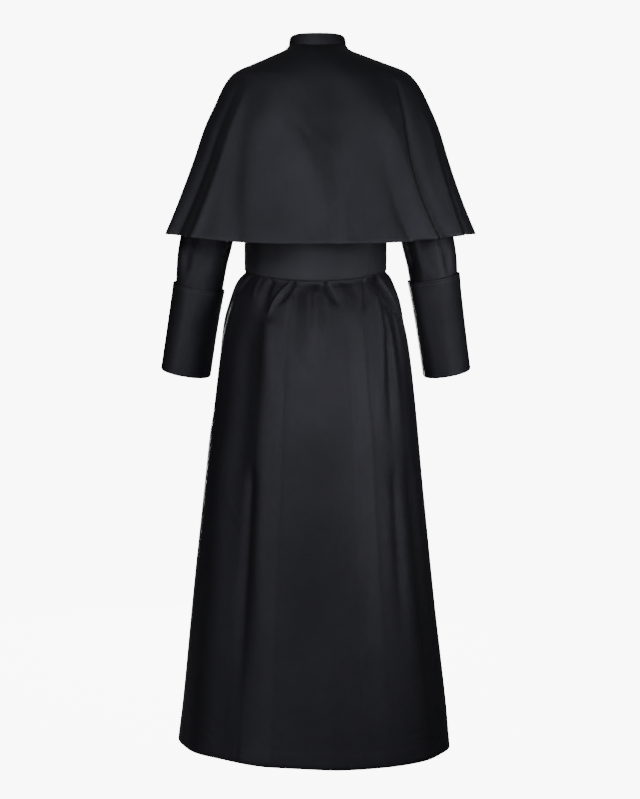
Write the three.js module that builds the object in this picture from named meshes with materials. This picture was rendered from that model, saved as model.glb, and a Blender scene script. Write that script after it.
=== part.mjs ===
// A priest's cassock with an elbow-length shoulder cape, a wide belt and deep turned-back cuffs.
// It keeps the shape that it has when worn, with nobody in it: neck, hem, cuffs and armholes are open.
// Millimetres, +Z up. +Y is the wearer's back, -Y the front and +X the wearer's left.
// The origin is between the shoulders, level with the neck seam at the nape.
// A turn is an angle round the body: 0 at the centre back, 90 at the wearer's left, 180 at the centre front.
// A drop is a height below the origin.
import * as THREE from "three";

const DEG = Math.PI / 180;

// Driving dimensions
const CLOTH = 2; // wall of the cassock and the cape, with its facings
const BAND_CLOTH = 2.4; // wall of the collar, which is stiffened
const SEAM_GAP = 0.34; // between two pieces that are sewn together
const HEM_DROP = 1408; // nape to hem
const ARMPIT_DROP = 200;
const SIDE_TURN = 90; // the side seams
const NECK = { side: 57.5, back: 57.5, front: 67.5 }; // the cassock's neck hole, half sizes
const NECK_UP = { back: 0, side: 8, front: -22 }; // how high its edge lies
const NECK_SHARE = 0.34; // the part of a panel's top edge that is neckline, the rest is shoulder seam
const ARMHOLE_DEPTH = 54; // half of the armhole, front to back
const LAP = 16; // how far each front runs past the centre
const LAP_STEP = CLOTH + 0.5; // how far the under front lies inside the upper one
const LAP_CLEAR = { under: 1.4, free: 2.6 }; // in laps past the centre: the under front rises between these
const HEM_TILT = { rise: 8, from: 700 }; // how far the hem's left side rides up, and where that starts

// The body of the cassock: half sizes of its section at each drop, and how far it sways to the left.
const BODY = [
  { drop: ARMPIT_DROP, side: 161, back: 121, front: 118, sway: 0 },
  { drop: 270, side: 154, back: 117, front: 119, sway: 0 },
  { drop: 340, side: 142.2, back: 107.2, front: 109.2, sway: 3 },
  { drop: 372, side: 142.9, back: 107.9, front: 109.9, sway: 4 },
  { drop: 447, side: 142.9, back: 107.9, front: 109.9, sway: 4 },
  { drop: 462, side: 151, back: 114, front: 116, sway: 5 },
  { drop: 480, side: 160, back: 122, front: 122, sway: 6 },
  { drop: 520, side: 174, back: 136, front: 134, sway: 6 },
  { drop: 592, side: 190, back: 152, front: 147, sway: 5 },
  { drop: 696, side: 203, back: 172, front: 164, sway: 5 },
  { drop: 906, side: 224.5, back: 202, front: 190, sway: 6 },
  { drop: 1106, side: 245.5, back: 230, front: 217, sway: 6 },
  { drop: 1306, side: 267, back: 256, front: 243, sway: 5 },
  { drop: HEM_DROP, side: 277, back: 269, front: 254, sway: 7 },
];

// The shoulder seam, from the neck to the top of the armhole.
const SHOULDER = [
  { side: NECK.side, drop: -8 },
  { side: 62.5, drop: 4 },
  { side: 100, drop: 20.5 },
  { side: 138, drop: 37 },
  { side: 174, drop: 55 },
];

// Gathers and long folds of the skirt. from and to are turns, start and length run down from the belt's edge.
// out is how far the fold stands out, in where it is negative, and wide is half its width in degrees.
const SKIRT_FOLDS = [
  { from: 50, to: 67, start: 0, length: 85, out: -10, wide: 5 },
  { from: 58, to: 77, start: 0, length: 130, out: 5, wide: 7 },
  { from: 34, to: 42, start: 0, length: 75, out: -7, wide: 5 },
  { from: 20, to: 31, start: 0, length: 130, out: 10, wide: 5 },
  { from: 11, to: 8, start: 0, length: 200, out: -8, wide: 4.5 },
  { from: 1, to: -4, start: 0, length: 140, out: 8, wide: 5 },
  { from: -10, to: -15, start: 0, length: 60, out: -8, wide: 4.5 },
  { from: -25, to: -22, start: 0, length: 110, out: 5, wide: 6 },
  { from: -42, to: -31, start: 0, length: 65, out: -8, wide: 5 },
  { from: -48, to: -31, start: 0, length: 300, out: 9, wide: 7 },
  { from: -56, to: -69, start: 0, length: 95, out: -11, wide: 5 },
  { from: -72, to: -64, start: 50, length: 120, out: -5, wide: 6 },
  { from: -48, to: -42, start: 130, length: 220, out: -7, wide: 7 },
  { from: 30, to: 24, start: 80, length: 780, out: 8, wide: 11 },
  { from: 60, to: 50, start: 180, length: 720, out: -7, wide: 12 },
  { from: 2, to: 4, start: 150, length: 760, out: -6, wide: 12 },
  { from: -27, to: -18, start: 240, length: 680, out: 9, wide: 11 },
  { from: -52, to: -58, start: 330, length: 580, out: -8, wide: 11 },
  { from: 104, to: 97, start: 0, length: 90, out: -9, wide: 5 },
  { from: 120, to: 113, start: 0, length: 150, out: 8, wide: 6 },
  { from: 134, to: 130, start: 0, length: 100, out: -8, wide: 5 },
  { from: 149, to: 146, start: 0, length: 230, out: 9, wide: 7 },
  { from: 162, to: 160, start: 0, length: 120, out: -6, wide: 5 },
  { from: -100, to: -93, start: 0, length: 80, out: -8, wide: 5 },
  { from: -116, to: -111, start: 0, length: 170, out: 8, wide: 6 },
  { from: -131, to: -126, start: 0, length: 90, out: -9, wide: 5 },
  { from: -145, to: -143, start: 0, length: 210, out: 8, wide: 7 },
  { from: -160, to: -157, start: 0, length: 130, out: -7, wide: 5 },
  { from: 138, to: 143, start: 200, length: 700, out: 8, wide: 11 },
  { from: 112, to: 108, start: 240, length: 660, out: -7, wide: 12 },
  { from: -136, to: -140, start: 180, length: 720, out: 8, wide: 11 },
  { from: -104, to: -110, start: 280, length: 620, out: -7, wide: 12 },
];

// The belt: half sizes and the drops of its edges, then the degrees that its end laps over its start.
const BELT = { side: 145.5, back: 110.5, front: 112.5, sway: 4, top: 352, bottom: 445, cloth: 2, gap: 0.6 };
const BELT_LAP = { over: 24, clear: 2, rise: 12 };
const BELT_DIP = 32; // how much lower the belt hangs at the centre back than at the sides
const DIP_ROUND = 1.2; // 1 dips evenly from the side seams and 2 mostly near the centre back
const DIP_REACH = 110; // the cloth above and below follows the belt's dip within about this height

// The cape: half sizes and drops of its side, back and front profiles, from the neck at 0 to the hem at 1.
const CAPE = [
  { share: 0, side: 60.2, sideDrop: -10, back: 60.2, backDrop: -3.2, front: 70.2, frontDrop: 17, sway: 0 },
  { share: 0.03, side: 67, sideDrop: -1.5, back: 67, backDrop: 0.8, front: 77, frontDrop: 17.5, sway: 0 },
  { share: 0.12, side: 103, sideDrop: 15, back: 85, backDrop: 21, front: 94, frontDrop: 39, sway: -2 },
  { share: 0.22, side: 141, sideDrop: 31, back: 102, backDrop: 47, front: 109, frontDrop: 71, sway: -5 },
  { share: 0.32, side: 177, sideDrop: 47, back: 116, backDrop: 77, front: 121, frontDrop: 101, sway: -7 },
  { share: 0.4, side: 198, sideDrop: 70, back: 125, backDrop: 108, front: 128, frontDrop: 131, sway: -8 },
  { share: 0.5, side: 219, sideDrop: 112, back: 134, backDrop: 150, front: 135, frontDrop: 168, sway: -9 },
  { share: 0.62, side: 240, sideDrop: 160, back: 142, backDrop: 206, front: 142, frontDrop: 214, sway: -8 },
  { share: 0.75, side: 260, sideDrop: 224, back: 150, backDrop: 273, front: 149, frontDrop: 266, sway: -7 },
  { share: 0.88, side: 287, sideDrop: 301, back: 159, backDrop: 345, front: 156, frontDrop: 322, sway: -6 },
  { share: 1, side: 315, sideDrop: 371, back: 169, backDrop: 409, front: 164, frontDrop: 373, sway: -6 },
];
const CAPE_SQUARE = { most: 2.45, from: 0.1, over: 0.3 }; // 2 is an ellipse, and its sections get squarer
const CAPE_GAP = { neck: 2, hem: 24 }; // half the gap between its front edges

// Flutes and hollows of the cape. from and to are turns at the fold's start and at the hem, start is a share,
// out is how far the fold stands out at the hem and wide is half its width in degrees.
const CAPE_FOLDS = [
  { from: 50, to: 57, start: 0.35, out: -15, wide: 6 },
  { from: 40, to: 46, start: 0.4, out: 8, wide: 7 },
  { from: 26, to: 28, start: 0.45, out: -9, wide: 9 },
  { from: 14, to: -5, start: 0.25, out: 9, wide: 9 },
  { from: -8, to: -26, start: 0.45, out: -9, wide: 8 },
  { from: -32, to: -39, start: 0.4, out: 8, wide: 7 },
  { from: -46, to: -52, start: 0.35, out: -14, wide: 6 },
  { from: 76, to: 72, start: 0.5, out: 7, wide: 8 },
  { from: -74, to: -70, start: 0.5, out: 7, wide: 8 },
  { from: 108, to: 106, start: 0.5, out: 7, wide: 8 },
  { from: 126, to: 123, start: 0.35, out: -13, wide: 7 },
  { from: 140, to: 138, start: 0.4, out: 9, wide: 8 },
  { from: 156, to: 156, start: 0.5, out: -7, wide: 8 },
  { from: -108, to: -107, start: 0.5, out: 7, wide: 8 },
  { from: -128, to: -125, start: 0.35, out: -13, wide: 7 },
  { from: -142, to: -140, start: 0.4, out: 9, wide: 8 },
  { from: -157, to: -158, start: 0.5, out: -7, wide: 8 },
];

// A sleeve: its outer and inner lines, how far back its middle is, half its depth, and its rings' tilt.
const SLEEVE = [
  { out: 174, outDrop: 55, in: 161, inDrop: 200, back: 0, deep: ARMHOLE_DEPTH, tilt: 0 },
  { out: 184, outDrop: 66, in: 162.5, inDrop: 206, back: 0, deep: 54, tilt: 0 },
  { out: 193, outDrop: 82, in: 163, inDrop: 213, back: 1, deep: 54, tilt: 0 },
  { out: 202, outDrop: 102, in: 163, inDrop: 222, back: 1, deep: 53, tilt: 0 },
  { out: 214, outDrop: 134, in: 163, inDrop: 238, back: 2, deep: 52, tilt: 0 },
  { out: 231, outDrop: 182, in: 163, inDrop: 264, back: 3, deep: 51, tilt: 0 },
  { out: 246, outDrop: 236, in: 164, inDrop: 300, back: 4, deep: 50, tilt: 0 },
  { out: 259, outDrop: 296, in: 167, inDrop: 342, back: 5, deep: 49, tilt: 1 },
  { out: 272, outDrop: 358, in: 171, inDrop: 384, back: 4, deep: 48, tilt: 4 },
  { out: 284, outDrop: 420, in: 183, inDrop: 438, back: 0, deep: 48, tilt: 9 },
  { out: 291, outDrop: 482, in: 196, inDrop: 500, back: -12, deep: 48, tilt: 12 },
  { out: 302, outDrop: 556, in: 210, inDrop: 573, back: -30, deep: 47, tilt: 13 },
  { out: 316, outDrop: 644, in: 224, inDrop: 660, back: -51, deep: 46, tilt: 13 },
];
const WRIST_SHIFT = { left: 2, right: -1 }; // how far each hand end lies further out than the table says
const CUFF_ROWS = { left: 9.8, right: 9.5 }; // where on the sleeve's table each cuff's top edge lies
const CUFF = { cloth: 2, stand: 3.5, flare: 2, fold: 2.5, under: 3.2 }; // how far it stands off the sleeve

// The collar: half sizes and heights of its seam and its rim.
const COLLAR_SEAM = { side: 58.6, back: 58.6, front: 68.6 };
const COLLAR_SEAM_UP = { back: 0.4, side: 8.4, front: -21.6 };
const COLLAR_RIM = { side: 57, back: 57.5, front: 65 };
const COLLAR_RIM_UP = { back: 28, side: 26, front: 1 };
const COLLAR_GAP = 2.2; // degrees on each side of the centre front

const BUTTON = { radius: 7, rim: 1.6, top: 0.6, dome: 3.2, gap: 0.6, sides: 10 };
const BUTTON_DROPS = [67, 147, 227, 307, 500, 580, 660, 740, 820, 900, 980];

// Grids: how many cells across and down each piece
const PANEL_CELLS = { back: 44, front: 22 };
const YOKE_CELLS = 7; // down the armhole, and twice this many round a sleeve
const BODY_ROWS = [250, 290, 325, 360, 447, 460, 478, 502, 540, 604, 700, 850, 1040, 1230, HEM_DROP];
const CAPE_CELLS = { back: 28, front: 14 };
const CAPE_ROWS = [0, 0.03, 0.12, 0.22, 0.32, 0.4, 0.5, 0.62, 0.75, 0.88, 1];
const SLEEVE_CELLS = 2 * YOKE_CELLS;
const SLEEVE_ROWS = [0, 1, 2, 3, 4, 5, 6, 7, 8, 9, 10, 11, 12];
const CUFF_STEPS = 4;
const FOLD_STEPS = 3;
const BELT_CELLS = 74;
const COLLAR_CELLS = 28;
const COLLAR_STEPS = 3;

// A smooth curve through one column of a table that never overshoots its rows.
function curveOf(rows, by, name) {
  const xs = rows.map((row) => row[by]);
  const ys = rows.map((row) => row[name]);
  const slope = xs.slice(1).map((x, i) => (ys[i + 1] - ys[i]) / (x - xs[i]));
  const lean = xs.map((_, i) => {
    if (i === 0) return slope[0];
    if (i === xs.length - 1) return slope[i - 1];
    const before = slope[i - 1];
    const after = slope[i];
    return before * after <= 0 ? 0 : (2 * before * after) / (before + after);
  });
  return (x) => {
    const at = Math.min(Math.max(x, xs[0]), xs[xs.length - 1]);
    let i = 0;
    while (i < xs.length - 2 && at > xs[i + 1]) i += 1;
    const step = xs[i + 1] - xs[i];
    const t = (at - xs[i]) / step;
    const rise = t * t * (3 - 2 * t);
    const leaving = t * (1 - t) * (1 - t) * step * lean[i];
    const arriving = t * t * (t - 1) * step * lean[i + 1];
    return ys[i] + (ys[i + 1] - ys[i]) * rise + leaving + arriving;
  };
}

// All the columns of a table as curves, in one function.
function curvesOf(rows, by) {
  const names = Object.keys(rows[0]).filter((name) => name !== by);
  const curves = names.map((name) => [name, curveOf(rows, by, name)]);
  return (x) => Object.fromEntries(curves.map(([name, curve]) => [name, curve(x)]));
}

const mix = (a, b, share) => a + (b - a) * share;
const clamp = (x) => Math.min(Math.max(x, 0), 1);
const ease = (x) => clamp(x) ** 2 * (3 - 2 * clamp(x));
const signedPower = (x, power) => Math.sign(x) * Math.abs(x) ** power;

// A height that has one value at the back, one at the sides and one at the front.
function around({ back, side, front }, turn) {
  const even = (back + front) / 2;
  const lean = ((back - front) / 2) * Math.cos(turn * DEG);
  const bow = ((even - side) / 2) * Math.cos(2 * turn * DEG);
  return (even + side) / 2 + lean + bow;
}

// A point of an oval section, where a squareness of 2 makes it an ellipse.
function ovalPoint(size, turn, drop, square = 2) {
  const across = signedPower(Math.sin(turn * DEG), 2 / square);
  const deep = signedPower(Math.cos(turn * DEG), 2 / square);
  const depth = deep > 0 ? size.back : size.front;
  return new THREE.Vector3((size.sway ?? 0) + size.side * across, depth * deep, -drop);
}

// A smooth bump round a turn, 1 in its middle.
const bump = (away, wide) => Math.exp(-(((away - 360 * Math.round(away / 360)) / wide) ** 2));

// How far the folds of a table push the cloth out at a turn and a distance along them. Each swells over the
// first sixth of its length, and fades over the last part.
const FOLD_SWELL = 1 / 6;
const FOLD_FADE = 0.4;

function foldsOut(folds, turn, along) {
  let out = 0;
  for (const fold of folds) {
    const share = (along - fold.start) / fold.length;
    if (share <= 0 || share >= 1) continue;
    const away = turn - mix(fold.from, fold.to, Math.sqrt(share));
    const swell = ease(share / FOLD_SWELL) * (1 - ease((share - FOLD_FADE) / (1 - FOLD_FADE)));
    out += fold.out * swell * bump(away, fold.wide * (1 + share));
  }
  return out;
}

// The body of the cassock
const bodySize = curvesOf(BODY, "drop");
const shoulderDrop = curveOf(SHOULDER, "side", "drop");

function beltDip(turn, drop) {
  const near = Math.exp(-(((drop - BELT.bottom) / DIP_REACH) ** 2));
  return BELT_DIP * near * Math.max(Math.cos(turn * DEG), 0) ** DIP_ROUND;
}

// The skirt and the body of the cassock, from the armpits down.
function tubePoint(turn, drop) {
  const size = bodySize(drop);
  const point = ovalPoint(size, turn, drop + beltDip(turn, drop));
  const out = foldsOut(SKIRT_FOLDS, turn, drop - BELT.bottom);
  point.x += out * Math.sin(turn * DEG);
  point.y += out * Math.cos(turn * DEG);
  point.z += HEM_TILT.rise * Math.sin(turn * DEG) * ease((drop - HEM_TILT.from) / (HEM_DROP - HEM_TILT.from));
  return point;
}

// The top edge of the panels: the neckline, then the shoulder seam.
function topPoint(turn) {
  const quarter = Math.abs(turn) > SIDE_TURN ? 180 - Math.abs(turn) : Math.abs(turn);
  const share = quarter / SIDE_TURN;
  const side = Math.sign(turn) || 1;
  const front = Math.abs(turn) > SIDE_TURN;
  if (share < NECK_SHARE) {
    const bend = (share / NECK_SHARE) * 90;
    const round = front ? 180 - bend : bend;
    return ovalPoint(NECK, side * round, -around(NECK_UP, round));
  }
  const reach = mix(NECK.side, SHOULDER[SHOULDER.length - 1].side, (share - NECK_SHARE) / (1 - NECK_SHARE));
  return new THREE.Vector3(side * reach, 0, -shoulderDrop(reach));
}

// The yoke: the front and back above the armpits. rise is 0 at the armpits and 1 at the shoulder seam.
function yokePoint(turn, rise) {
  const low = ovalPoint(bodySize(ARMPIT_DROP), turn, ARMPIT_DROP);
  const top = topPoint(turn);
  const back = Math.abs(turn) < SIDE_TURN ? 1 : -1;
  const share = (Math.abs(turn) < SIDE_TURN ? Math.abs(turn) : 180 - Math.abs(turn)) / SIDE_TURN;
  const full = Math.max(1 - rise ** (2 + share), 0) ** (0.8 - 0.3 * share);
  const hollow = ARMHOLE_DEPTH * 2 * Math.sqrt(Math.max(rise * (1 - rise), 0)) * share ** 3;
  const y = mix(top.y, low.y, full) + back * hollow;
  return new THREE.Vector3(mix(low.x, top.x, rise), y, mix(low.z, top.z, rise));
}

// Rows of the body, each a share of the way down the yoke, up to 1, or else a drop.
const spread = (from, to, cells) => Array.from({ length: cells + 1 }, (_, i) => mix(from, to, i / cells));
const yokeRows = spread(0, 180, YOKE_CELLS).map((bend) => ((1 - Math.cos(bend * DEG)) / 2) * ARMPIT_DROP);
const bodyRows = [...yokeRows, ...BODY_ROWS];

function bodyPoint(turn, row) {
  const at = Math.min(Math.max(row, 0), bodyRows.length - 1);
  const i = Math.min(Math.floor(at), bodyRows.length - 2);
  const level = mix(bodyRows[i], bodyRows[i + 1], at - i);
  return level < ARMPIT_DROP ? yokePoint(turn, 1 - level / ARMPIT_DROP) : tubePoint(turn, level);
}

// A point of the body's flat facets at a drop, for what is sewn onto them.
function facetPoint(turn, drop) {
  let i = 0;
  while (-bodyPoint(turn, i + 1).z < drop) i += 1;
  const above = bodyPoint(turn, i);
  const below = bodyPoint(turn, i + 1);
  return above.lerp(below, (drop + above.z) / (above.z - below.z));
}

// The cape
const capeSize = curvesOf(CAPE, "share");

function capePoint(turn, share) {
  const size = capeSize(share);
  const drop = around({ back: size.backDrop, side: size.sideDrop, front: size.frontDrop }, turn);
  const square = mix(2, CAPE_SQUARE.most, ease((share - CAPE_SQUARE.from) / CAPE_SQUARE.over));
  const point = ovalPoint(size, turn, drop, square);
  let out = 0;
  for (const fold of CAPE_FOLDS) {
    const along = clamp((share - fold.start) / (1 - fold.start));
    out += fold.out * along ** 1.4 * bump(turn - mix(fold.from, fold.to, along), fold.wide);
  }
  point.x += out * Math.sin(turn * DEG);
  point.y += out * Math.cos(turn * DEG);
  return point;
}

// A sleeve. turn goes round the arm, 90 at its outer line, and row is a row of its table.
const sleeveSize = curvesOf(SLEEVE.map((row, index) => ({ index, ...row })), "index");
const WRIST = SLEEVE.length - 1;

function sleevePoint(shift, turn, row) {
  const size = sleeveSize(row);
  const lean = (shift * row) / WRIST;
  const level = -(size.outDrop + size.inDrop) / 2;
  const middle = new THREE.Vector3((size.out + size.in) / 2 + lean, size.back, level);
  const outward = new THREE.Vector3((size.out - size.in) / 2, 0, (size.inDrop - size.outDrop) / 2);
  const backward = new THREE.Vector3(0, Math.cos(size.tilt * DEG), -Math.sin(size.tilt * DEG));
  middle.addScaledVector(outward, Math.sin(turn * DEG));
  return middle.addScaledVector(backward, size.deep * Math.cos(turn * DEG));
}

// The outward normal of a surface whose first direction is a turn and whose second one runs down.
function normalOf(surface, u, v, low, high) {
  const du = 0.05;
  const dv = (high - low) * 1e-3;
  const from = Math.max(v - dv, low);
  const to = Math.min(v + dv, high);
  const across = surface(u + du, v).sub(surface(u - du, v));
  const down = surface(u, to).sub(surface(u, from));
  return across.cross(down).normalize();
}

function solidMesh(name, vertices, faces, material) {
  const geometry = new THREE.BufferGeometry();
  const places = vertices.flatMap((point) => [point.x, point.y, point.z]);
  geometry.setAttribute("position", new THREE.Float32BufferAttribute(places, 3));
  geometry.setIndex(faces.flat());
  geometry.computeVertexNormals();
  const mesh = new THREE.Mesh(geometry, material);
  mesh.name = name;
  return mesh;
}

// A wall of cloth between two grids of points. grid gives the outer point and its normal at a column and row.
function clothWall(name, columns, rows, grid, thickness, material, { closed = false, mirror = false } = {}) {
  const outer = [];
  const inner = [];
  for (let j = 0; j < rows; j++) {
    for (let i = 0; i < columns; i++) {
      const { point, normal } = grid(i, j);
      const under = point.clone().addScaledVector(normal, -thickness);
      if (mirror) [point, under].forEach((p) => p.setX(-p.x));
      outer.push(point);
      inner.push(under);
    }
  }
  const half = outer.length;
  const id = (i, j) => j * columns + (i % columns);
  const faces = [];
  const quad = (a, b, c, d) => faces.push(...(mirror ? [[a, b, c], [a, c, d]] : [[a, c, b], [a, d, c]]));
  const cells = closed ? columns : columns - 1;
  for (let i = 0; i < cells; i++) {
    for (let j = 0; j < rows - 1; j++) {
      quad(id(i, j), id(i, j + 1), id(i + 1, j + 1), id(i + 1, j));
      quad(half + id(i, j), half + id(i + 1, j), half + id(i + 1, j + 1), half + id(i, j + 1));
    }
    quad(id(i, 0), id(i + 1, 0), half + id(i + 1, 0), half + id(i, 0));
    quad(id(i + 1, rows - 1), id(i, rows - 1), half + id(i, rows - 1), half + id(i + 1, rows - 1));
  }
  if (!closed) {
    for (let j = 0; j < rows - 1; j++) {
      quad(id(0, j + 1), id(0, j), half + id(0, j), half + id(0, j + 1));
      quad(id(cells, j), id(cells, j + 1), half + id(cells, j + 1), half + id(cells, j));
    }
  }
  return solidMesh(name, [...outer, ...inner], faces, material);
}

// A panel cut from a surface at the turns that columns gives for each row, half a seam gap inside its edges.
function panel(name, surface, { columns, rows, thickness, material, push = () => 0, flatten = () => {} }) {
  const last = rows.length - 1;
  const edge = SEAM_GAP / 2;
  const count = columns(rows[0]).length;
  const grid = (i, j) => {
    const v = rows[j];
    let u = columns(v)[i];
    const inward = i === 0 ? 1 : -1;
    if (i === 0 || i === count - 1) u += (inward * edge) / surface(u, v).distanceTo(surface(u + inward, v));
    const point = surface(u, v);
    const normal = normalOf(surface, u, v, rows[0], rows[last]);
    if (j === 0) {
      const down = surface(u, mix(rows[0], rows[1], 0.01)).sub(point).normalize();
      point.addScaledVector(down, edge);
      flatten(normal);
    }
    return { point: point.addScaledVector(normal, push(u, v)), normal };
  };
  return clothWall(name, count, rows.length, grid, thickness, material);
}

const cloth = new THREE.MeshStandardMaterial({ color: 0x222126, roughness: 0.75, metalness: 0 });
const horn = new THREE.MeshStandardMaterial({ color: 0x1a1a1d, roughness: 0.35, metalness: 0 });

// The cassock's panels: one back, and two fronts of which the left one laps over the right one.
function cassockPanels() {
  const rows = bodyRows.map((_, i) => i);
  const lapTurn = (row) => LAP / bodyPoint(180, row).distanceTo(bodyPoint(179, row));
  const flatten = (normal) => normal.setY(0).normalize();
  const shared = { rows, thickness: CLOTH, material: cloth, flatten };
  const under = (turn, row) => {
    const laps = (turn - 180) / lapTurn(row);
    return -LAP_STEP * ease((LAP_CLEAR.free - laps) / (LAP_CLEAR.free - LAP_CLEAR.under));
  };
  const rightColumns = (row) => [
    180 - lapTurn(row),
    180 + LAP_CLEAR.under * lapTurn(row),
    ...spread(180 + LAP_CLEAR.free * lapTurn(row), 270, PANEL_CELLS.front - 2),
  ];
  const wrapped = (turn, row) => bodyPoint(turn > 180 ? turn - 360 : turn, row);
  return [
    panel("back", bodyPoint, { ...shared, columns: () => spread(-SIDE_TURN, SIDE_TURN, PANEL_CELLS.back) }),
    panel("front_left", wrapped, {
      ...shared,
      columns: (row) => spread(SIDE_TURN, 180 + lapTurn(row), PANEL_CELLS.front),
    }),
    panel("front_right", wrapped, { ...shared, columns: rightColumns, push: under }),
  ];
}

// A sleeve, whose first ring lies in the plane of the armhole.
function sleeve(side) {
  const surface = (turn, row) => sleevePoint(WRIST_SHIFT[side], turn, row);
  const middle = surface(90, 0).add(surface(-90, 0)).multiplyScalar(0.5);
  const grid = (i, j) => {
    const turn = (i * 360) / SLEEVE_CELLS;
    const point = surface(turn, SLEEVE_ROWS[j]);
    const normal = normalOf(surface, turn, SLEEVE_ROWS[j], 0, WRIST);
    if (j === 0) {
      normal.copy(point).sub(middle).normalize();
      point.x += SEAM_GAP;
    }
    return { point, normal };
  };
  const mirror = side === "right";
  const tube = { closed: true, mirror };
  return clothWall(`sleeve_${side}`, SLEEVE_CELLS, SLEEVE_ROWS.length, grid, CLOTH, cloth, tube);
}

// A cuff, turned back over the sleeve: down outside it, round its edge and a little way in under it.
function cuff(side) {
  const top = CUFF_ROWS[side];
  const steps = [...spread(0, 1, CUFF_STEPS), ...spread(1, 2, FOLD_STEPS).slice(1), 3];
  const arm = (turn, row) => sleevePoint(WRIST_SHIFT[side], turn, row);
  const surface = (turn, step) => {
    const row = mix(top, WRIST, clamp(step));
    const out = normalOf(arm, turn, row, 0, WRIST);
    const down = arm(turn, WRIST).sub(arm(turn, WRIST - 0.1)).normalize();
    const bend = clamp(step - 1) * 90 * DEG;
    const stand = CUFF.stand + CUFF.flare * (1 - clamp(step)) - CUFF.fold * (1 - Math.cos(bend));
    const inner = stand - clamp(step - 2) * CUFF.under;
    return arm(turn, row).addScaledVector(out, inner).addScaledVector(down, CUFF.fold * Math.sin(bend));
  };
  const grid = (i, j) => {
    const turn = (i * 360) / SLEEVE_CELLS;
    return { point: surface(turn, steps[j]), normal: normalOf(surface, turn, steps[j], 0, 3) };
  };
  const mirror = side === "right";
  const tube = { closed: true, mirror };
  return clothWall(`cuff_${side}`, SLEEVE_CELLS, steps.length, grid, CUFF.cloth, cloth, tube);
}

// The collar, whose ends meet at the centre front.
function collar() {
  const surface = (turn, share) => {
    const rim = ovalPoint(COLLAR_RIM, turn, -around(COLLAR_RIM_UP, turn));
    return rim.lerp(ovalPoint(COLLAR_SEAM, turn, -around(COLLAR_SEAM_UP, turn)), share);
  };
  const rows = spread(0, 1, COLLAR_STEPS);
  const columns = () => spread(COLLAR_GAP - 180, 180 - COLLAR_GAP, COLLAR_CELLS);
  return panel("collar", surface, { rows, columns, thickness: BAND_CLOTH, material: cloth });
}

// The cape's three panels. Its side seams run over the shoulders, and its front edges part towards the hem.
function capePanels() {
  const wrapped = (turn, share) => capePoint(turn > 180 ? turn - 360 : turn, share);
  const half = (share) => {
    const perDegree = capePoint(180, share).distanceTo(capePoint(179, share));
    return mix(CAPE_GAP.neck, CAPE_GAP.hem, share) / perDegree;
  };
  const shared = { rows: CAPE_ROWS, thickness: CLOTH, material: cloth };
  const backColumns = () => spread(-SIDE_TURN, SIDE_TURN, CAPE_CELLS.back);
  return [
    panel("cape_back", capePoint, { ...shared, columns: backColumns }),
    panel("cape_front_left", wrapped, {
      ...shared,
      columns: (share) => spread(SIDE_TURN, 180 - half(share), CAPE_CELLS.front),
    }),
    panel("cape_front_right", wrapped, {
      ...shared,
      columns: (share) => spread(180 + half(share), 270, CAPE_CELLS.front),
    }),
  ];
}

// The belt goes once round and laps over its own start at the wearer's left of the centre front.
function belt() {
  const start = 180 - BELT_LAP.over - 360;
  const surface = (turn, share) => {
    const drop = mix(BELT.top, BELT.bottom, share);
    const past = turn - 180 + BELT_LAP.over + BELT_LAP.clear + BELT_LAP.rise;
    const lift = (BELT.cloth + BELT.gap) * ease(past / BELT_LAP.rise);
    const size = { side: BELT.side + lift, back: BELT.back, front: BELT.front + lift, sway: BELT.sway };
    return ovalPoint(size, turn, drop + beltDip(turn, drop));
  };
  const columns = () => spread(start, 180, BELT_CELLS);
  return panel("belt", surface, { rows: spread(0, 1, 2), columns, thickness: BELT.cloth, material: cloth });
}

// The buttons, each a low dome that sits on the left front.
function buttons() {
  return BUTTON_DROPS.map((drop, index) => {
    const profile = [
      new THREE.Vector2(0, 0),
      new THREE.Vector2(BUTTON.radius, 0),
      new THREE.Vector2(BUTTON.radius, BUTTON.rim),
      new THREE.Vector2(BUTTON.radius * BUTTON.top, BUTTON.dome),
      new THREE.Vector2(0, BUTTON.dome),
    ];
    const geometry = new THREE.LatheGeometry(profile, BUTTON.sides);
    const mesh = new THREE.Mesh(geometry, horn);
    mesh.name = `button_${String(index + 1).padStart(2, "0")}`;
    const point = facetPoint(180, drop);
    const normal = normalOf(facetPoint, 180, drop, BUTTON_DROPS[0] / 2, HEM_DROP);
    mesh.position.copy(point.addScaledVector(normal, BUTTON.gap));
    mesh.quaternion.setFromUnitVectors(new THREE.Vector3(0, 1, 0), normal);
    return mesh;
  });
}

const costume = new THREE.Group();
costume.name = "priest_costume";
costume.add(...cassockPanels(), sleeve("left"), sleeve("right"), cuff("left"), cuff("right"));
costume.add(collar(), ...capePanels(), belt(), ...buttons());
export default costume;
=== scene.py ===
# %% [markdown]
# # A priest's cassock with a shoulder cape
# The garment is a long black cassock, seen from behind, with an elbow-length cape, a low stand collar,
# a wide belt and deep turned-back cuffs. Nobody wears it, but it keeps the shape that it has when worn.
# Each piece of cloth is made here as a thin shell on the form of its solid in the frame, with the folds
# laid in one by one.

# %% Load the frame
import math

import bpy
import numpy as np
from mathutils import Matrix


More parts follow.
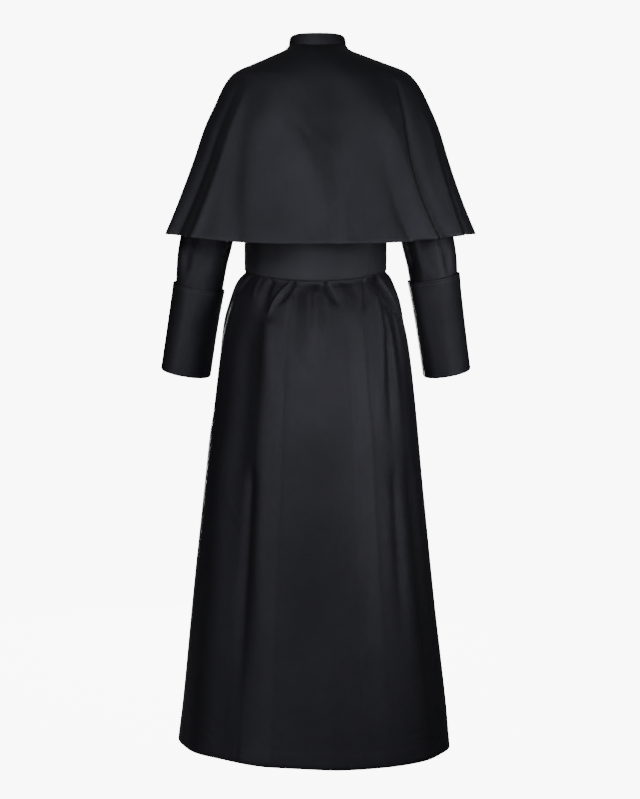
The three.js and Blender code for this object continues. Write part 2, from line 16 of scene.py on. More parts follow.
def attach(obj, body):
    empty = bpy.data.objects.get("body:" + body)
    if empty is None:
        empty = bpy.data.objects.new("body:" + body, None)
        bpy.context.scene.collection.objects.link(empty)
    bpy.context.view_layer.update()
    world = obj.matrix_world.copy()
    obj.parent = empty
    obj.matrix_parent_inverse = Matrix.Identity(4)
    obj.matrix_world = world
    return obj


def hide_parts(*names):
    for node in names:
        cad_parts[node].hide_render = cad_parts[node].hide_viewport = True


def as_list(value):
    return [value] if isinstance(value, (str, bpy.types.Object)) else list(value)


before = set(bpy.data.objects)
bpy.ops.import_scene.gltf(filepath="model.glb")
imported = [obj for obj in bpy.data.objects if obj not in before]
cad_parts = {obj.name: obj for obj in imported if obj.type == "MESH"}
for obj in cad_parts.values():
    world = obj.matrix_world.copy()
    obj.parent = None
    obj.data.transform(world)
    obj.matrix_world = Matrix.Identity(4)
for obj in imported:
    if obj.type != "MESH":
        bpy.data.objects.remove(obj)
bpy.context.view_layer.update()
MM = 0.001


def placed(name, data):
    """Put a new object into the scene."""
    thing = bpy.data.objects.new(name, data)
    bpy.context.scene.collection.objects.link(thing)
    return thing


print("solids in the frame:", len(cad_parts))

# %% [markdown]
# ## The camera
# A level camera at the height of the waist sees the collar's rim bend up and the hem bend down, as the
# photograph does. The distance comes from how strongly the hem bends, and the lens from the size of a
# pixel there.

# %% Camera
EYE_HEIGHT = -0.711
EYE_DISTANCE = 3.25
EYE_SIDE = -0.0051
METRES_PER_PIXEL = 0.00205
IMAGE_HEIGHT = 799
SENSOR = 36.0

camera_data = bpy.data.cameras.new("camera")
camera_data.sensor_width = SENSOR
camera_data.lens = SENSOR * EYE_DISTANCE / (METRES_PER_PIXEL * IMAGE_HEIGHT)
camera_data.dof.use_dof = False
camera = placed("camera", camera_data)
camera.location = (EYE_SIDE, EYE_DISTANCE, EYE_HEIGHT)
camera.rotation_euler = (math.radians(90), 0, math.radians(180))
bpy.context.scene.camera = camera
print("lens", round(camera_data.lens, 1), "mm at", EYE_DISTANCE, "m")

# %% [markdown]
# ## Curves through short tables
# A garment's section changes slowly from neck to hem, so each piece is a short table of sizes and a
# smooth curve through each column. The curve never overshoots, so no size swells between two rows.


# %% Curves and shares
def curve(xs, ys):
    xs, ys = np.asarray(xs, float), np.asarray(ys, float)
    step = np.diff(xs)
    slope = np.diff(ys) / step
    before, after = slope[:-1], slope[1:]
    same_way = before * after > 0
    total = np.where(same_way, before + after, 1.0)
    inner = np.where(same_way, 2 * before * after / total, 0.0)
    lean = np.concatenate([slope[:1], inner, slope[-1:]])

    def at(x):
        x = np.clip(x, xs[0], xs[-1])
        i = np.clip(np.searchsorted(xs, x, side="right") - 1, 0, len(step) - 1)
        t = (x - xs[i]) / step[i]
        rise = t * t * (3 - 2 * t)
        ends = t * (1 - t) ** 2 * lean[i] + t * t * (t - 1) * lean[i + 1]
        return ys[i] + (ys[i + 1] - ys[i]) * rise + step[i] * ends

    return at


def table(names, rows):
    columns = dict(zip(names.split(), zip(*rows)))
    by, *others = names.split()
    return {name: curve(columns[by], columns[name]) for name in others}


def mix(a, b, share):
    return a + (b - a) * share


def ease(x):
    x = np.clip(x, 0, 1)
    return x * x * (3 - 2 * x)


def wrap(turn):
    """The same turn between -180 and 180."""
    return (turn + 180) % 360 - 180


def around(back, side, front, turn):
    even = (back + front) / 2
    lean = (back - front) / 2 * np.cos(np.radians(turn))
    bow = (even - side) / 2 * np.cos(np.radians(2 * turn))
    return (even + side) / 2 + lean + bow


# %% [markdown]
# ## The forms
# A turn is an angle round the body, 0 at the centre back, 90 at the wearer's left and 180 at the centre
# front. A drop is a height below the origin, which lies between the shoulders. These tables are in
# millimetres and are the same as the solids'.

# %% Sizes of the body, the cape and the sleeves
ARMPIT_DROP = 200.0
HEM_DROP = 1408.0
NECK_SHARE = 0.34
ARMHOLE_DEPTH = 54.0
NECK = {"side": 57.5, "back": 57.5, "front": 67.5}
SHOULDER_SIDE = 174.0
BELT_TOP, BELT_BOTTOM = 352.0, 445.0
BELT_DIP, DIP_ROUND, DIP_REACH = 32.0, 1.2, 110.0
HEM_RISE, HEM_RISE_FROM = 8.0, 700.0

BODY = table("drop side back front sway", [
    (200, 161, 121, 118, 0),
    (270, 154, 117, 119, 0),
    (340, 142.2, 107.2, 109.2, 3),
    (372, 142.9, 107.9, 109.9, 4),
    (447, 142.9, 107.9, 109.9, 4),
    (462, 151, 114, 116, 5),
    (480, 160, 122, 122, 6),
    (520, 174, 136, 134, 6),
    (592, 190, 152, 147, 5),
    (696, 203, 172, 164, 5),
    (906, 224.5, 202, 190, 6),
    (1106, 245.5, 230, 217, 6),
    (1306, 267, 256, 243, 5),
    (1408, 277, 269, 254, 7),
])
SHOULDER = table("side drop", [(57.5, -8), (62.5, 4), (100, 20.5), (138, 37), (174, 55)])
CAPE = table("share side side_drop back back_drop front front_drop sway", [
    (0, 60.2, -10, 60.2, -3.2, 70.2, 17, 0),
    (0.03, 67, -1.5, 67, 0.8, 77, 17.5, 0),
    (0.12, 103, 15, 85, 21, 94, 39, -2),
    (0.22, 141, 31, 102, 47, 109, 71, -5),
    (0.32, 177, 47, 116, 77, 121, 101, -7),
    (0.4, 198, 70, 125, 108, 128, 131, -8),
    (0.5, 219, 112, 134, 150, 135, 168, -9),
    (0.62, 240, 160, 142, 206, 142, 214, -8),
    (0.75, 260, 224, 150, 273, 149, 266, -7),
    (0.88, 287, 301, 159, 345, 156, 322, -6),
    (1, 315, 371, 169, 409, 164, 373, -6),
])
SLEEVE = table("row out out_drop inn in_drop back deep tilt", [
    (0, 174, 55, 161, 200, 0, 54, 0),
    (1, 184, 66, 162.5, 206, 0, 54, 0),
    (2, 193, 82, 163, 213, 1, 54, 0),
    (3, 202, 102, 163, 222, 1, 53, 0),
    (4, 214, 134, 163, 238, 2, 52, 0),
    (5, 231, 182, 163, 264, 3, 51, 0),
    (6, 246, 236, 164, 300, 4, 50, 0),
    (7, 259, 296, 167, 342, 5, 49, 1),
    (8, 272, 358, 171, 384, 4, 48, 4),
    (9, 284, 420, 183, 438, 0, 48, 9),
    (10, 291, 482, 196, 500, -12, 48, 12),
    (11, 302, 556, 210, 573, -30, 47, 13),
    (12, 316, 644, 224, 660, -51, 46, 13),
])
WRIST = 12.0
WRIST_SHIFT = {"left": 2.0, "right": -1.0}


# %% Points of the forms
def stack(x, y, z):
    return np.stack(np.broadcast_arrays(x, y, z), axis=-1).astype(float)


def signed_power(x, power):
    return np.sign(x) * np.abs(x) ** power


def oval(size, turn, drop, square=2.0):
    across = signed_power(np.sin(np.radians(turn)), 2 / square)
    deep = signed_power(np.cos(np.radians(turn)), 2 / square)
    depth = np.where(deep > 0, size["back"], size["front"])
    return stack(size.get("sway", 0) + size["side"] * across, depth * deep, -drop)


def sizes(form, at):
    return {name: column(at) for name, column in form.items()}


def push(point, turn, out):
    point[..., 0] += out * np.sin(np.radians(turn))
    point[..., 1] += out * np.cos(np.radians(turn))
    return point


def belt_dip(turn, drop):
    near = np.exp(-(((drop - BELT_BOTTOM) / DIP_REACH) ** 2))
    return BELT_DIP * near * np.maximum(np.cos(np.radians(turn)), 0) ** DIP_ROUND


def tube_point(turn, drop):
    point = oval(sizes(BODY, drop), turn, drop + belt_dip(turn, drop))
    rise = HEM_RISE * ease((drop - HEM_RISE_FROM) / (HEM_DROP - HEM_RISE_FROM))
    point[..., 2] += rise * np.sin(np.radians(turn))
    return point


def quarter_share(turn):
    folded = np.abs(wrap(turn))
    return np.where(folded > 90, 180 - folded, folded) / 90, folded > 90


def yoke_point(turn, rise):
    turn, rise = np.broadcast_arrays(turn, rise)
    share, front = quarter_share(turn)
    side = np.where(wrap(turn) < 0, -1.0, 1.0)
    bend = np.clip(share / NECK_SHARE, 0, 1) * 90
    bend = np.where(front, 180 - bend, bend)
    top = oval(NECK, side * bend, -around(0, 8, -22, bend))
    past_neck = share >= NECK_SHARE
    reach = mix(NECK["side"], SHOULDER_SIDE, (share - NECK_SHARE) / (1 - NECK_SHARE))
    seam = stack(side * reach, 0, -SHOULDER["drop"](reach))
    top = np.where(past_neck[..., None], seam, top)
    low = oval(sizes(BODY, np.full_like(rise, ARMPIT_DROP)), turn, ARMPIT_DROP)
    full = np.maximum(1 - rise ** (2 + share), 0) ** (0.8 - 0.3 * share)
    hollow = ARMHOLE_DEPTH * 2 * np.sqrt(np.maximum(rise * (1 - rise), 0)) * share**3
    y = mix(top[..., 1], low[..., 1], full) + np.where(front, -1, 1) * hollow
    return stack(mix(low[..., 0], top[..., 0], rise), y, mix(low[..., 2], top[..., 2], rise))


def body_point(turn, level):
    turn, level = np.broadcast_arrays(turn, level)
    above = yoke_point(turn, np.clip(1 - level / ARMPIT_DROP, 0, 1))
    below = tube_point(turn, np.maximum(level, ARMPIT_DROP))
    return np.where((level < ARMPIT_DROP)[..., None], above, below)


def cape_point(turn, share):
    size = sizes(CAPE, share)
    drop = around(size["back_drop"], size["side_drop"], size["front_drop"], turn)
    return oval(size, turn, drop, mix(2, 2.45, ease((share - 0.1) / 0.3)))


def sleeve_point(side, turn, row):
    size = sizes(SLEEVE, row)
    a, tilt = np.radians(turn), np.radians(size["tilt"])
    middle = (size["out"] + size["inn"]) / 2 + WRIST_SHIFT[side] * row / WRIST
    x = middle + (size["out"] - size["inn"]) / 2 * np.sin(a)
    y = size["back"] + size["deep"] * np.cos(a) * np.cos(tilt)
    level = -(size["out_drop"] + size["in_drop"]) / 2
    z = level + (size["in_drop"] - size["out_drop"]) / 2 * np.sin(a)
    z = z - size["deep"] * np.cos(a) * np.sin(tilt)
    return stack(x, y, z)


print("chest", round(2 * float(BODY["side"](ARMPIT_DROP))), "mm wide at the armpits")

# %% [markdown]
# ## Folds
# Cloth that is gathered or hangs over an arm folds along lines, each with its own length, depth and
# width. A fold here is one row of a table: where it starts and ends, how far it stands out, or in where
# that is negative, how wide it is, and how crisp. A crispness of 2 is a soft roll and 1 is a pressed
# crease.


# %% Folds from a table
ROUND_TIP = 0.02
FOLD_SPREAD = 0.6
LOOSE_FROM, LOOSE_OVER = 40, 300


def fold_line(turn, centre, wide, crisp):
    away = wrap(turn - centre)
    return np.exp(-((np.sqrt((away / wide) ** 2 + ROUND_TIP)) ** crisp))


def bent(first, middle, last, share):
    """A turn that runs through three turns, at shares 0, a half and 1."""
    return first + share * (4 * middle - 3 * first - last) + share**2 * 2 * (first + last - 2 * middle)


def folds(rows, turn, along, swell=0.12, fade=0.45):
    out = np.zeros(np.broadcast(turn, along).shape)
    for first, middle, last, start, length, depth, wide, crisp in rows:
        share = np.clip((along - start) / length, 0, 1)
        strength = ease(share / swell) * (1 - ease((share - fade) / (1 - fade)))
        centre = bent(first, middle, last, share)
        out += depth * strength * fold_line(turn, centre, wide * (1 + FOLD_SPREAD * share), crisp)
    return out


def ripple(turn, along, seed, waves, depth):
    """Small uneven waves of seeded sines, for the looser cloth between the folds."""
    draw = np.random.default_rng(seed)
    out = np.zeros(np.broadcast(turn, along).shape)
    for _ in range(waves):
        count, phase = draw.integers(5, 17), draw.uniform(0, 2 * math.pi)
        length, drift = draw.uniform(250, 700), draw.uniform(0, 2 * math.pi)
        out += np.sin(np.radians(turn) * count + phase + 0.8 * np.sin(along / length + drift))
    return depth * out / math.sqrt(waves)


# Under the belt: turn at the top, halfway and at the end, start and length below the belt, depth, half width,
# crispness
GATHERS = [
    (65, 76, 84, 0, 85, -9, 2.8, 1.6),
    (51, 49, 46, 0, 60, 3, 1.6, 1.6),
    (38, 37, 36, 0, 95, -6, 3.2, 1.8),
    (20, 28.5, 31, 0, 100, 6, 1.3, 1.5),
    (16, 21, 26, 0, 65, -9, 1.5, 1.4),
    (13, 12, 12, 0, 260, -4, 3.2, 1.9),
    (4.5, 4, 3.5, 0, 240, 3, 2.6, 2),
    (-0.8, -1.2, -1, 0, 215, 8, 2.9, 2),
    (-5, -5.5, -5, 0, 130, -3, 2, 1.8),
    (-7, -12, -16, 0, 62, -9, 1.7, 1.4),
    (-21, -23, -24, 0, 150, 4, 4, 2),
    (-43, -38, -33, 0, 85, -5, 1.7, 1.5),
    (-49, -41, -35, 0, 380, 8, 4.2, 2),
    (-57, -68, -83, 0, 120, -20, 3.0, 1.7),
    (-64, -61, -61, 70, 170, -3, 3, 1.8),
    (-53, -53.5, -54, 60, 280, 3, 2.8, 1.8),
    (-48, -46.5, -46, 130, 280, -3, 2.8, 1.7),
    (31, 25, 21, 85, 230, 6, 5, 2),
    (70, 72, 76, 40, 140, 3, 5, 2),
    (82, 86, 89, 0, 90, -8, 2, 1.5),
    (90, 92, 93, 0, 200, 5, 4, 2),
    (105, 100, 96, 0, 95, -10, 1.9, 1.4),
    (112, 110, 108, 0, 180, 6, 3.6, 1.8),
    (122, 119, 117, 0, 75, -8, 1.7, 1.4),
    (132, 131, 131, 0, 240, -5, 1.9, 1.6),
    (139, 138, 138, 0, 220, 6, 3, 2),
    (148, 145, 142, 0, 80, -9, 1.8, 1.4),
    (156, 155, 154, 0, 260, 6, 4, 2),
    (166, 164, 163, 0, 90, -6, 1.8, 1.5),
    (-88, -86, -84, 0, 120, 5, 3.4, 2),
    (-98, -93, -90, 0, 90, -10, 1.9, 1.4),
    (-108, -107, -106, 0, 210, 6, 4, 2),
    (-117, -114, -112, 0, 75, -8, 1.7, 1.4),
    (-125, -126, -126, 0, 200, -5, 1.8, 1.6),
    (-133, -132, -131, 0, 150, 6, 2.8, 2),
    (-143, -139, -136, 0, 85, -9, 1.8, 1.4),
    (-152, -152, -151, 0, 250, 6, 4.2, 2),
    (-163, -160, -158, 0, 95, -7, 1.9, 1.5),
]
# The long soft folds of the skirt, in the same columns
LONG_FOLDS = [
    (27, 25, 22, 60, 850, 7, 9, 2),
    (46, 46, 46, 90, 640, -3.5, 8, 2),
    (33.5, 33.5, 32.5, 380, 520, -8, 3.6, 1.8),
    (62, 62, 61, 300, 900, 5, 8, 2),
    (5, 5, 4, 150, 860, -5, 9, 2),
    (-20, -20, -21, 90, 1150, 4, 2.6, 1.7),
    (-32, -30, -28, 250, 760, 7, 9, 2),
    (-46, -44, -42, 380, 420, -5, 3.5, 1.8),
    (-60, -62, -64, 350, 800, -6, 7, 2),
    (-78, -79, -80, 200, 900, -5, 6, 2),
    (20, 20, 19, 560, 640, 4, 5, 2),
    (-8, -9, -10, 640, 600, 3, 5, 2),
    (138, 140, 143, 200, 800, 8, 9, 2),
    (112, 110, 108, 240, 760, -7, 8, 2),
    (160, 160, 161, 300, 800, -6, 7, 2),
    (96, 96, 96, 260, 700, 5, 7, 2),
    (-136, -138, -140, 180, 820, 8, 9, 2),
    (-104, -107, -110, 280, 720, -7, 8, 2),
    (126, 125, 124, 420, 900, -5, 5, 2),
    (-122, -124, -126, 500, 800, 5, 6, 2),
    (-160, -161, -162, 260, 900, -6, 7, 2),
]


def skirt_out(turn, drop):
    below = drop - BELT_BOTTOM
    waves = ease((below - LOOSE_FROM) / LOOSE_OVER) * ripple(turn, drop, 7, 6, 1.1)
    return folds(GATHERS, turn, below) + folds(LONG_FOLDS, turn, below) + waves


print("folds in the skirt:", len(GATHERS) + len(LONG_FOLDS))

# %% [markdown]
# ## The cape's flutes
# Two layers of cloth lie over the shoulders, and below the blades the cape hangs free, so its folds
# start from nothing there and grow to the hem. The arms push it out at the sides, which leaves a deep
# valley beside each arm.

# %% The cape's table of folds
# turn at the start, halfway and at the hem, share where it starts, depth at the hem, half width, crispness
# and how it grows: under 1 soon, over 1 late
CAPE_FOLDS = [
    (53, 58, 65, 0.36, -10, 4.4, 1.7, 0.8),
    (44, 46, 49, 0.38, 8, 3.2, 1.7, 0.8),
    (39, 36, 28, 0.48, -11, 5.5, 2, 0.9),
    (8, 0, -1, 0.56, 9, 3.2, 1.8, 0.9),
    (-3, -4, -3, 0.74, -6, 1.7, 1.6, 1),
    (-6, -6, -7, 0.8, 5, 2, 1.7, 1),
    (14, 14, 15, 0.7, -4, 7, 2, 1),
    (-16, -17, -18, 0.72, -4, 4, 1.8, 1),
    (-26, -35, -41, 0.42, 9, 4.6, 1.8, 0.8),
    (-24, -27, -32, 0.6, -16, 4, 1.8, 0.8),
    (-49, -43, -48.5, 0.37, -16, 3, 1.5, 0.5),
    (-60, -61, -58, 0.42, 6, 4, 1.9, 0.9),
    (-70, -68, -67, 0.6, -5, 3, 1.7, 1),
    (76, 74, 73, 0.5, 8, 5, 1.9, 1),
    (86, 85, 83, 0.6, -6, 3.6, 1.8, 1),
    (-84, -82, -80, 0.5, 2, 5, 1.9, 1),
    (102, 100, 98, 0.5, 7, 5, 1.9, 1),
    (122, 120, 118, 0.36, -13, 2.4, 1.4, 0.7),
    (132, 131, 130, 0.42, 9, 4.6, 1.8, 0.9),
    (142, 141, 143, 0.55, -8, 3.4, 1.7, 1),
    (154, 153, 152, 0.5, 7, 5, 1.9, 1),
    (165, 165, 166, 0.62, -5, 3.6, 1.8, 1),
    (-98, -97, -95, 0.5, 7, 5, 1.9, 1),
    (-110, -108, -107, 0.6, -6, 3.6, 1.8, 1),
    (-124, -121, -119, 0.38, -12, 2.6, 1.4, 0.7),
    (-134, -133, -132, 0.42, 9, 4.6, 1.8, 0.9),
    (-146, -144, -142, 0.58, -7, 3.2, 1.7, 1),
    (-156, -157, -158, 0.5, 7, 5, 1.9, 1),
]
# Where the cloth over the back dips or swells without hanging: turn, share, depth, half width and half height
CAPE_DIPS = [
    (-3, 0.45, -7, 8, 0.15),
    (-3, 0.62, -5, 5, 0.12),
    (22, 0.5, 6, 10, 0.13),
    (11, 0.66, 4, 7, 0.1),
    (-24, 0.52, 5, 10, 0.14),
    (-40, 0.36, -5, 9, 0.09),
    (6, 0.86, 3, 9, 0.1),
]


def cape_out(turn, share):
    out = np.zeros(np.broadcast(turn, share).shape)
    for first, middle, last, start, depth, wide, crisp, growth in CAPE_FOLDS:
        along = np.clip((share - start) / (1 - start), 0, 1)
        centre = bent(first, middle, last, along)
        out += depth * along**growth * fold_line(turn, centre, wide, crisp)
    for centre, level, depth, wide, high in CAPE_DIPS:
        out += depth * fold_line(turn, centre, wide, 2) * np.exp(-(((share - level) / high) ** 2))
    return out + ease((share - 0.45) / 0.5) * ripple(turn, share * 800, 21, 6, 0.6)


print("folds in the cape:", len(CAPE_FOLDS) + len(CAPE_DIPS))

# %% [markdown]
# ## From a grid of points to a sheet of cloth
# Every panel is a grid of points on its form. The sheet gets an outer and an inner face, a little over
# a millimetre apart as wool suiting with its turnings is, and a rounded edge all round. Its UV map is
# the cloth itself laid flat, in metres, so that the weave keeps one scale on every piece.


# %% Sheets
CLOTH = 1.3
EDGE_LIP, EDGE_ROUND = 0.7, 0.32
HEM_STEP, HEM_LIFT, HEM_DEPTH = 3.0, 0.25, 0.6


def unit(vectors):
    return vectors / np.linalg.norm(vectors, axis=-1, keepdims=True)


def normals_of(points, closed=False):
    if closed:
        across = np.roll(points, -1, axis=1) - np.roll(points, 1, axis=1)
    else:
        across = np.gradient(points, axis=1)
    return unit(np.cross(across, np.gradient(points, axis=0)))


def with_lip(points, axis):
    """Add a row of points a lip's width inside the first and last rows, for a small round edge."""
    points = np.moveaxis(points, axis, 0)
    first, last = points[1] - points[0], points[-2] - points[-1]
    near = points[0] + unit(first) * EDGE_LIP
    far = points[-1] + unit(last) * EDGE_LIP
    points = np.concatenate([points[:1], near[None], points[1:-1], far[None], points[-1:]])
    return np.moveaxis(points, 0, axis)


def lengths(points, axis):
    steps = np.linalg.norm(np.diff(points, axis=axis), axis=-1)
    start = np.zeros_like(np.take(steps, [0], axis=axis))
    return np.concatenate([start, np.cumsum(steps, axis=axis)], axis=axis)


def make_object(name, vertices, faces):
    mesh = bpy.data.meshes.new(name)
    mesh.from_pydata(vertices.tolist(), [], faces.tolist())
    mesh.polygons.foreach_set("use_smooth", np.ones(len(mesh.polygons), bool))
    mesh.update()
    return placed(name, mesh)


def edged(values, axis):
    """The same two extra rows for a value at each point."""
    values = np.moveaxis(values, axis, 0)
    values = np.concatenate([values[:1], values[:1], values[1:-1], values[-1:], values[-1:]])
    return np.moveaxis(values, 0, axis)


def sheet_mesh(name, points, closed=False, thick=CLOTH, hem=None, painted_shade=None):
    painted_shade = np.zeros(points.shape[:2]) if painted_shade is None else painted_shade
    points, painted_shade = with_lip(points, 0), edged(painted_shade, 0)
    if not closed:
        points, painted_shade = with_lip(points, 1), edged(painted_shade, 1)
    rows, cols = points.shape[:2]
    normal = normals_of(points, closed)
    depth = np.full((rows, cols), float(thick))
    if hem is not None:
        to_edge = lengths(points[::-1], 0)[::-1]
        turned = ease((hem + HEM_STEP / 2 - to_edge) / HEM_STEP)
        points = points + normal * (HEM_LIFT * turned)[..., None]
        depth = depth + HEM_DEPTH * turned
    else:
        turned = np.zeros((rows, cols))
    outer, inner = points.copy(), points - normal * depth[..., None]
    round_off = (normal * depth[..., None]) * EDGE_ROUND
    edges = [(0, slice(None)), (-1, slice(None))]
    if not closed:
        edges += [(slice(1, -1), 0), (slice(1, -1), -1)]
    for edge in edges:
        outer[edge] -= round_off[edge]
        inner[edge] += round_off[edge]
    cells = cols if closed else cols - 1
    j, i = (a.ravel() for a in np.meshgrid(np.arange(rows - 1), np.arange(cells), indexing="ij"))
    k = np.arange(cells)
    zero, last, o, n = np.zeros_like(k), np.full_like(k, rows - 1), 0, 1
    quads = [
        [(j, i, o), (j, i + 1, o), (j + 1, i + 1, o), (j + 1, i, o)],
        [(j, i, n), (j + 1, i, n), (j + 1, i + 1, n), (j, i + 1, n)],
        [(zero, k, o), (zero, k, n), (zero, k + 1, n), (zero, k + 1, o)],
        [(last, k + 1, o), (last, k + 1, n), (last, k, n), (last, k, o)],
    ]
    if not closed:
        m = np.arange(rows - 1)
        left, right = np.zeros_like(m), np.full_like(m, cols - 1)
        quads += [
            [(m + 1, left, o), (m + 1, left, n), (m, left, n), (m, left, o)],
            [(m, right, o), (m, right, n), (m + 1, right, n), (m + 1, right, o)],
        ]
    wrapped = np.concatenate([points, points[:, :1]], axis=1) if closed else points
    across = lengths(wrapped, 1)
    across = across - across[:, across.shape[1] // 2, None]
    along = lengths(wrapped, 0)
    faces, places = [], []
    for quad in quads:
        faces.append(np.stack([q[2] * rows * cols + q[0] * cols + q[1] % cols for q in quad], axis=1))
        places.append(np.stack([np.stack([across[q[0], q[1]], along[q[0], q[1]]], -1) for q in quad], axis=1))
    faces = np.concatenate(faces)
    thing = make_object(name, np.concatenate([outer.reshape(-1, 3), inner.reshape(-1, 3)]) * MM, faces)
    layer = thing.data.uv_layers.new(name="cloth")
    layer.data.foreach_set("uv", (np.concatenate(places).reshape(-1, 2) * MM).ravel())
    # Each point keeps how far its hem is turned and how much painted shade darkens its colour there.
    for label, values in (("turned", turned), ("painted_shade", painted_shade)):
        mark = thing.data.attributes.new(label, "FLOAT", "POINT")
        mark.data.foreach_set("value", np.concatenate([values.ravel(), values.ravel()]))
    sides = np.linalg.norm(np.cross(np.diff(points, axis=1)[:-1], np.diff(points, axis=0)[:, :-1]), axis=-1)
    width = np.ptp(across, axis=1).max() * MM
    length = along.max() * MM
    print(f"{name}: {2 * len(faces)} triangles, {sides.sum() / 1e6:.3f} m2, {width:.2f} x {length:.2f} m")
    return thing


def spaced(*stops):
    """Places that run through the stops, with the given number of cells between each two."""
    out = [np.array([stops[0]], float)]
    for start, cells, end in zip(stops[:-2:2], stops[1::2], stops[2::2]):
        out.append(np.linspace(start, end, int(cells) + 1)[1:])
    return np.concatenate(out)


# %% [markdown]
# ## The cassock
# The back is one panel from the shoulders to the hem. It is cut wide at the waist, drawn in by the belt
# and let go again, which makes the gathers just below the belt. The fronts are cut the same way, and
# the left one laps over the right one by a button stand.

# %% Back and fronts
SEAM_GAP = 0.02
# How deep a gather's crease must be before its painted shade starts, over what depth that shade grows, and
# how dark it gets.
CREASE_FROM, CREASE_DARK, CREASE_SHADE = 2.0, 5.0, 0.9
SKIRT_HEM = 30
LAP = 16.0
LAP_STEP = 2.5
UNDER_TO, UNDER_OVER = 2.6, 1.2
YOKE = (1 - np.cos(np.linspace(0, math.pi, 17))) / 2 * ARMPIT_DROP
LEVELS = np.concatenate([YOKE, spaced(200, 10, 352, 6, 440, 60, 660, 49, 1376, 3, 1380, 3, HEM_DROP)[1:]])
# Where the skirt is painted darker as shade: turn, level, amount, half width and half height
SKIRT_PAINTED_SHADE = [
    (68, 530, 0.3, 12, 80),
    (0, 930, 0.8, 24, 200),
    (52, 800, 0.6, 12, 200),
    (38, 1050, 0.6, 7, 150),
    (4, 1250, 0.8, 26, 260),
    (-30, 1330, 0.5, 22, 160),
    (-84, 950, 0.6, 9, 380),
    (110, 800, 0.5, 14, 220),
    (150, 1200, 0.6, 20, 200),
    (-120, 900, 0.5, 16, 240),
    (-152, 1250, 0.6, 20, 200),
]


# Soft patches of painted shade, summed from a table of patches and capped at 1.
def shade_patches(rows, turn, level):
    out = np.zeros(np.broadcast(turn, level).shape)
    for centre, height, amount, wide, high in rows:
        out += amount * fold_line(turn, centre, wide, 2) * np.exp(-(((level - height) / high) ** 2))
    return np.clip(out, 0, 1)


def cassock_point(turn, level):
    point = body_point(turn, level)
    return push(point, turn, np.where(level > BELT_BOTTOM - 6, skirt_out(turn, level), 0))


def degree_width(surface, level):
    """How wide one degree of turn is at the centre front of a surface."""
    step = surface(np.full_like(level, 180.0), level) - surface(np.full_like(level, 179.0), level)
    return np.linalg.norm(step, axis=-1)


def lap_turn(level):
    return LAP / degree_width(body_point, level)


def fixed(turn):
    """A panel's edge that keeps one turn all the way down."""
    return lambda level: turn + 0 * level


def seam_inset(points):
    """Draw the side edges of a panel in by half a seam's gap, and its top edge down by as much."""
    points = points.copy()
    half = SEAM_GAP / 2
    points[:, 0] += unit(points[:, 1] - points[:, 0]) * half
    points[:, -1] += unit(points[:, -2] - points[:, -1]) * half
    points[0] += unit(points[1] - points[0]) * half
    return points


def body_panel(name, start, end, columns, under=0.0):
    level = LEVELS[:, None]
    share = np.linspace(0, 1, columns + 1)[None, :]
    turn = start(level) + (end(level) - start(level)) * share
    wrapped = np.where(turn > 180, turn - 360, turn)
    points = cassock_point(wrapped, level + 0 * turn)
    laps = (turn - 180) / lap_turn(level)
    step = -under * ease((UNDER_TO - laps) / UNDER_OVER)
    points = points + normals_of(points) * step[..., None]
    # Painted shade: the colour is darkened deep in the gathers' creases and in patches over the skirt, where
    # shade falls.
    inward = -folds(GATHERS, wrapped, level - BELT_BOTTOM)
    crease_shade = np.clip((inward - CREASE_FROM) / CREASE_DARK, 0, 1)
    painted_shade = np.clip(shade_patches(SKIRT_PAINTED_SHADE, wrapped, level) + CREASE_SHADE * crease_shade, 0, 1)
    return sheet_mesh(name, seam_inset(points), hem=SKIRT_HEM, painted_shade=painted_shade)


back = body_panel("back_cloth", fixed(-90), fixed(90), 320)
front_left = body_panel("front_left_cloth", fixed(90), lambda level: 180 + lap_turn(level), 164)
front_right = body_panel(
    "front_right_cloth", lambda level: 180 - lap_turn(level), fixed(270), 164, under=LAP_STEP)

# %% [markdown]
# ## The sleeves and their cuffs
# A long set-in sleeve comes out from under the cape and bends forward a little, so its end is further
# from the viewer. The deep cuff is a separate tube, turned back over the sleeve and folded in at the
# wrist.

# %% Sleeves
# turn on the arm at the start, halfway and at the end, row where it starts, rows long, depth, half width and
# crispness
SLEEVE_FOLDS = [
    (20, 34, 48, 5.5, 6, -4, 11, 1.9),
    (-35, -22, -10, 6.5, 5.5, 3, 12, 2),
    (70, 82, 95, 4.5, 5.5, 5, 12, 2),
    (60, 40, 30, 8.2, 2, -2.5, 11, 1.8),
    (-80, -71, -62, 5, 6, -5, 10, 1.7),
    (140, 130, 120, 5.5, 5.5, 5, 12, 2),
    (-140, -150, -160, 5, 5.5, -5, 11, 1.7),
    (-20, 0, 25, 8.4, 1.8, -2, 10, 1.8),
]


def sleeve_cloth(side, turn, row):
    point = sleeve_point(side, turn, row)
    out = folds(SLEEVE_FOLDS, turn, row, swell=0.3, fade=0.5)
    out = out * (1 - ease((row - 9.0) / 0.8)) + 0.7 * np.sin(row * 2.1 + np.radians(turn)) * ease(row / 3)
    return push(point, turn, out)


def mirrored(points, side):
    if side == "left":
        return points
    return points[:, ::-1] * np.array([-1.0, 1.0, 1.0])


def sleeve(side):
    turn = np.arange(0, 360, 4.0)[None, :]
    row = spaced(0, 14, 1, 110, WRIST)[:, None]
    points = sleeve_cloth(side, turn, row + 0 * turn)
    points[0, :, 0] += SEAM_GAP
    return sheet_mesh(f"sleeve_{side}_cloth", mirrored(points, side), closed=True)


sleeves = {side: sleeve(side) for side in ("left", "right")}

# %% Cuffs
CUFF_TOP = {"left": 9.8, "right": 9.5}
CUFF_STAND, CUFF_FLARE, CUFF_FOLD, CUFF_UNDER, CUFF_SPREAD = 3.5, 2.0, 2.5, 3.2, 4.5


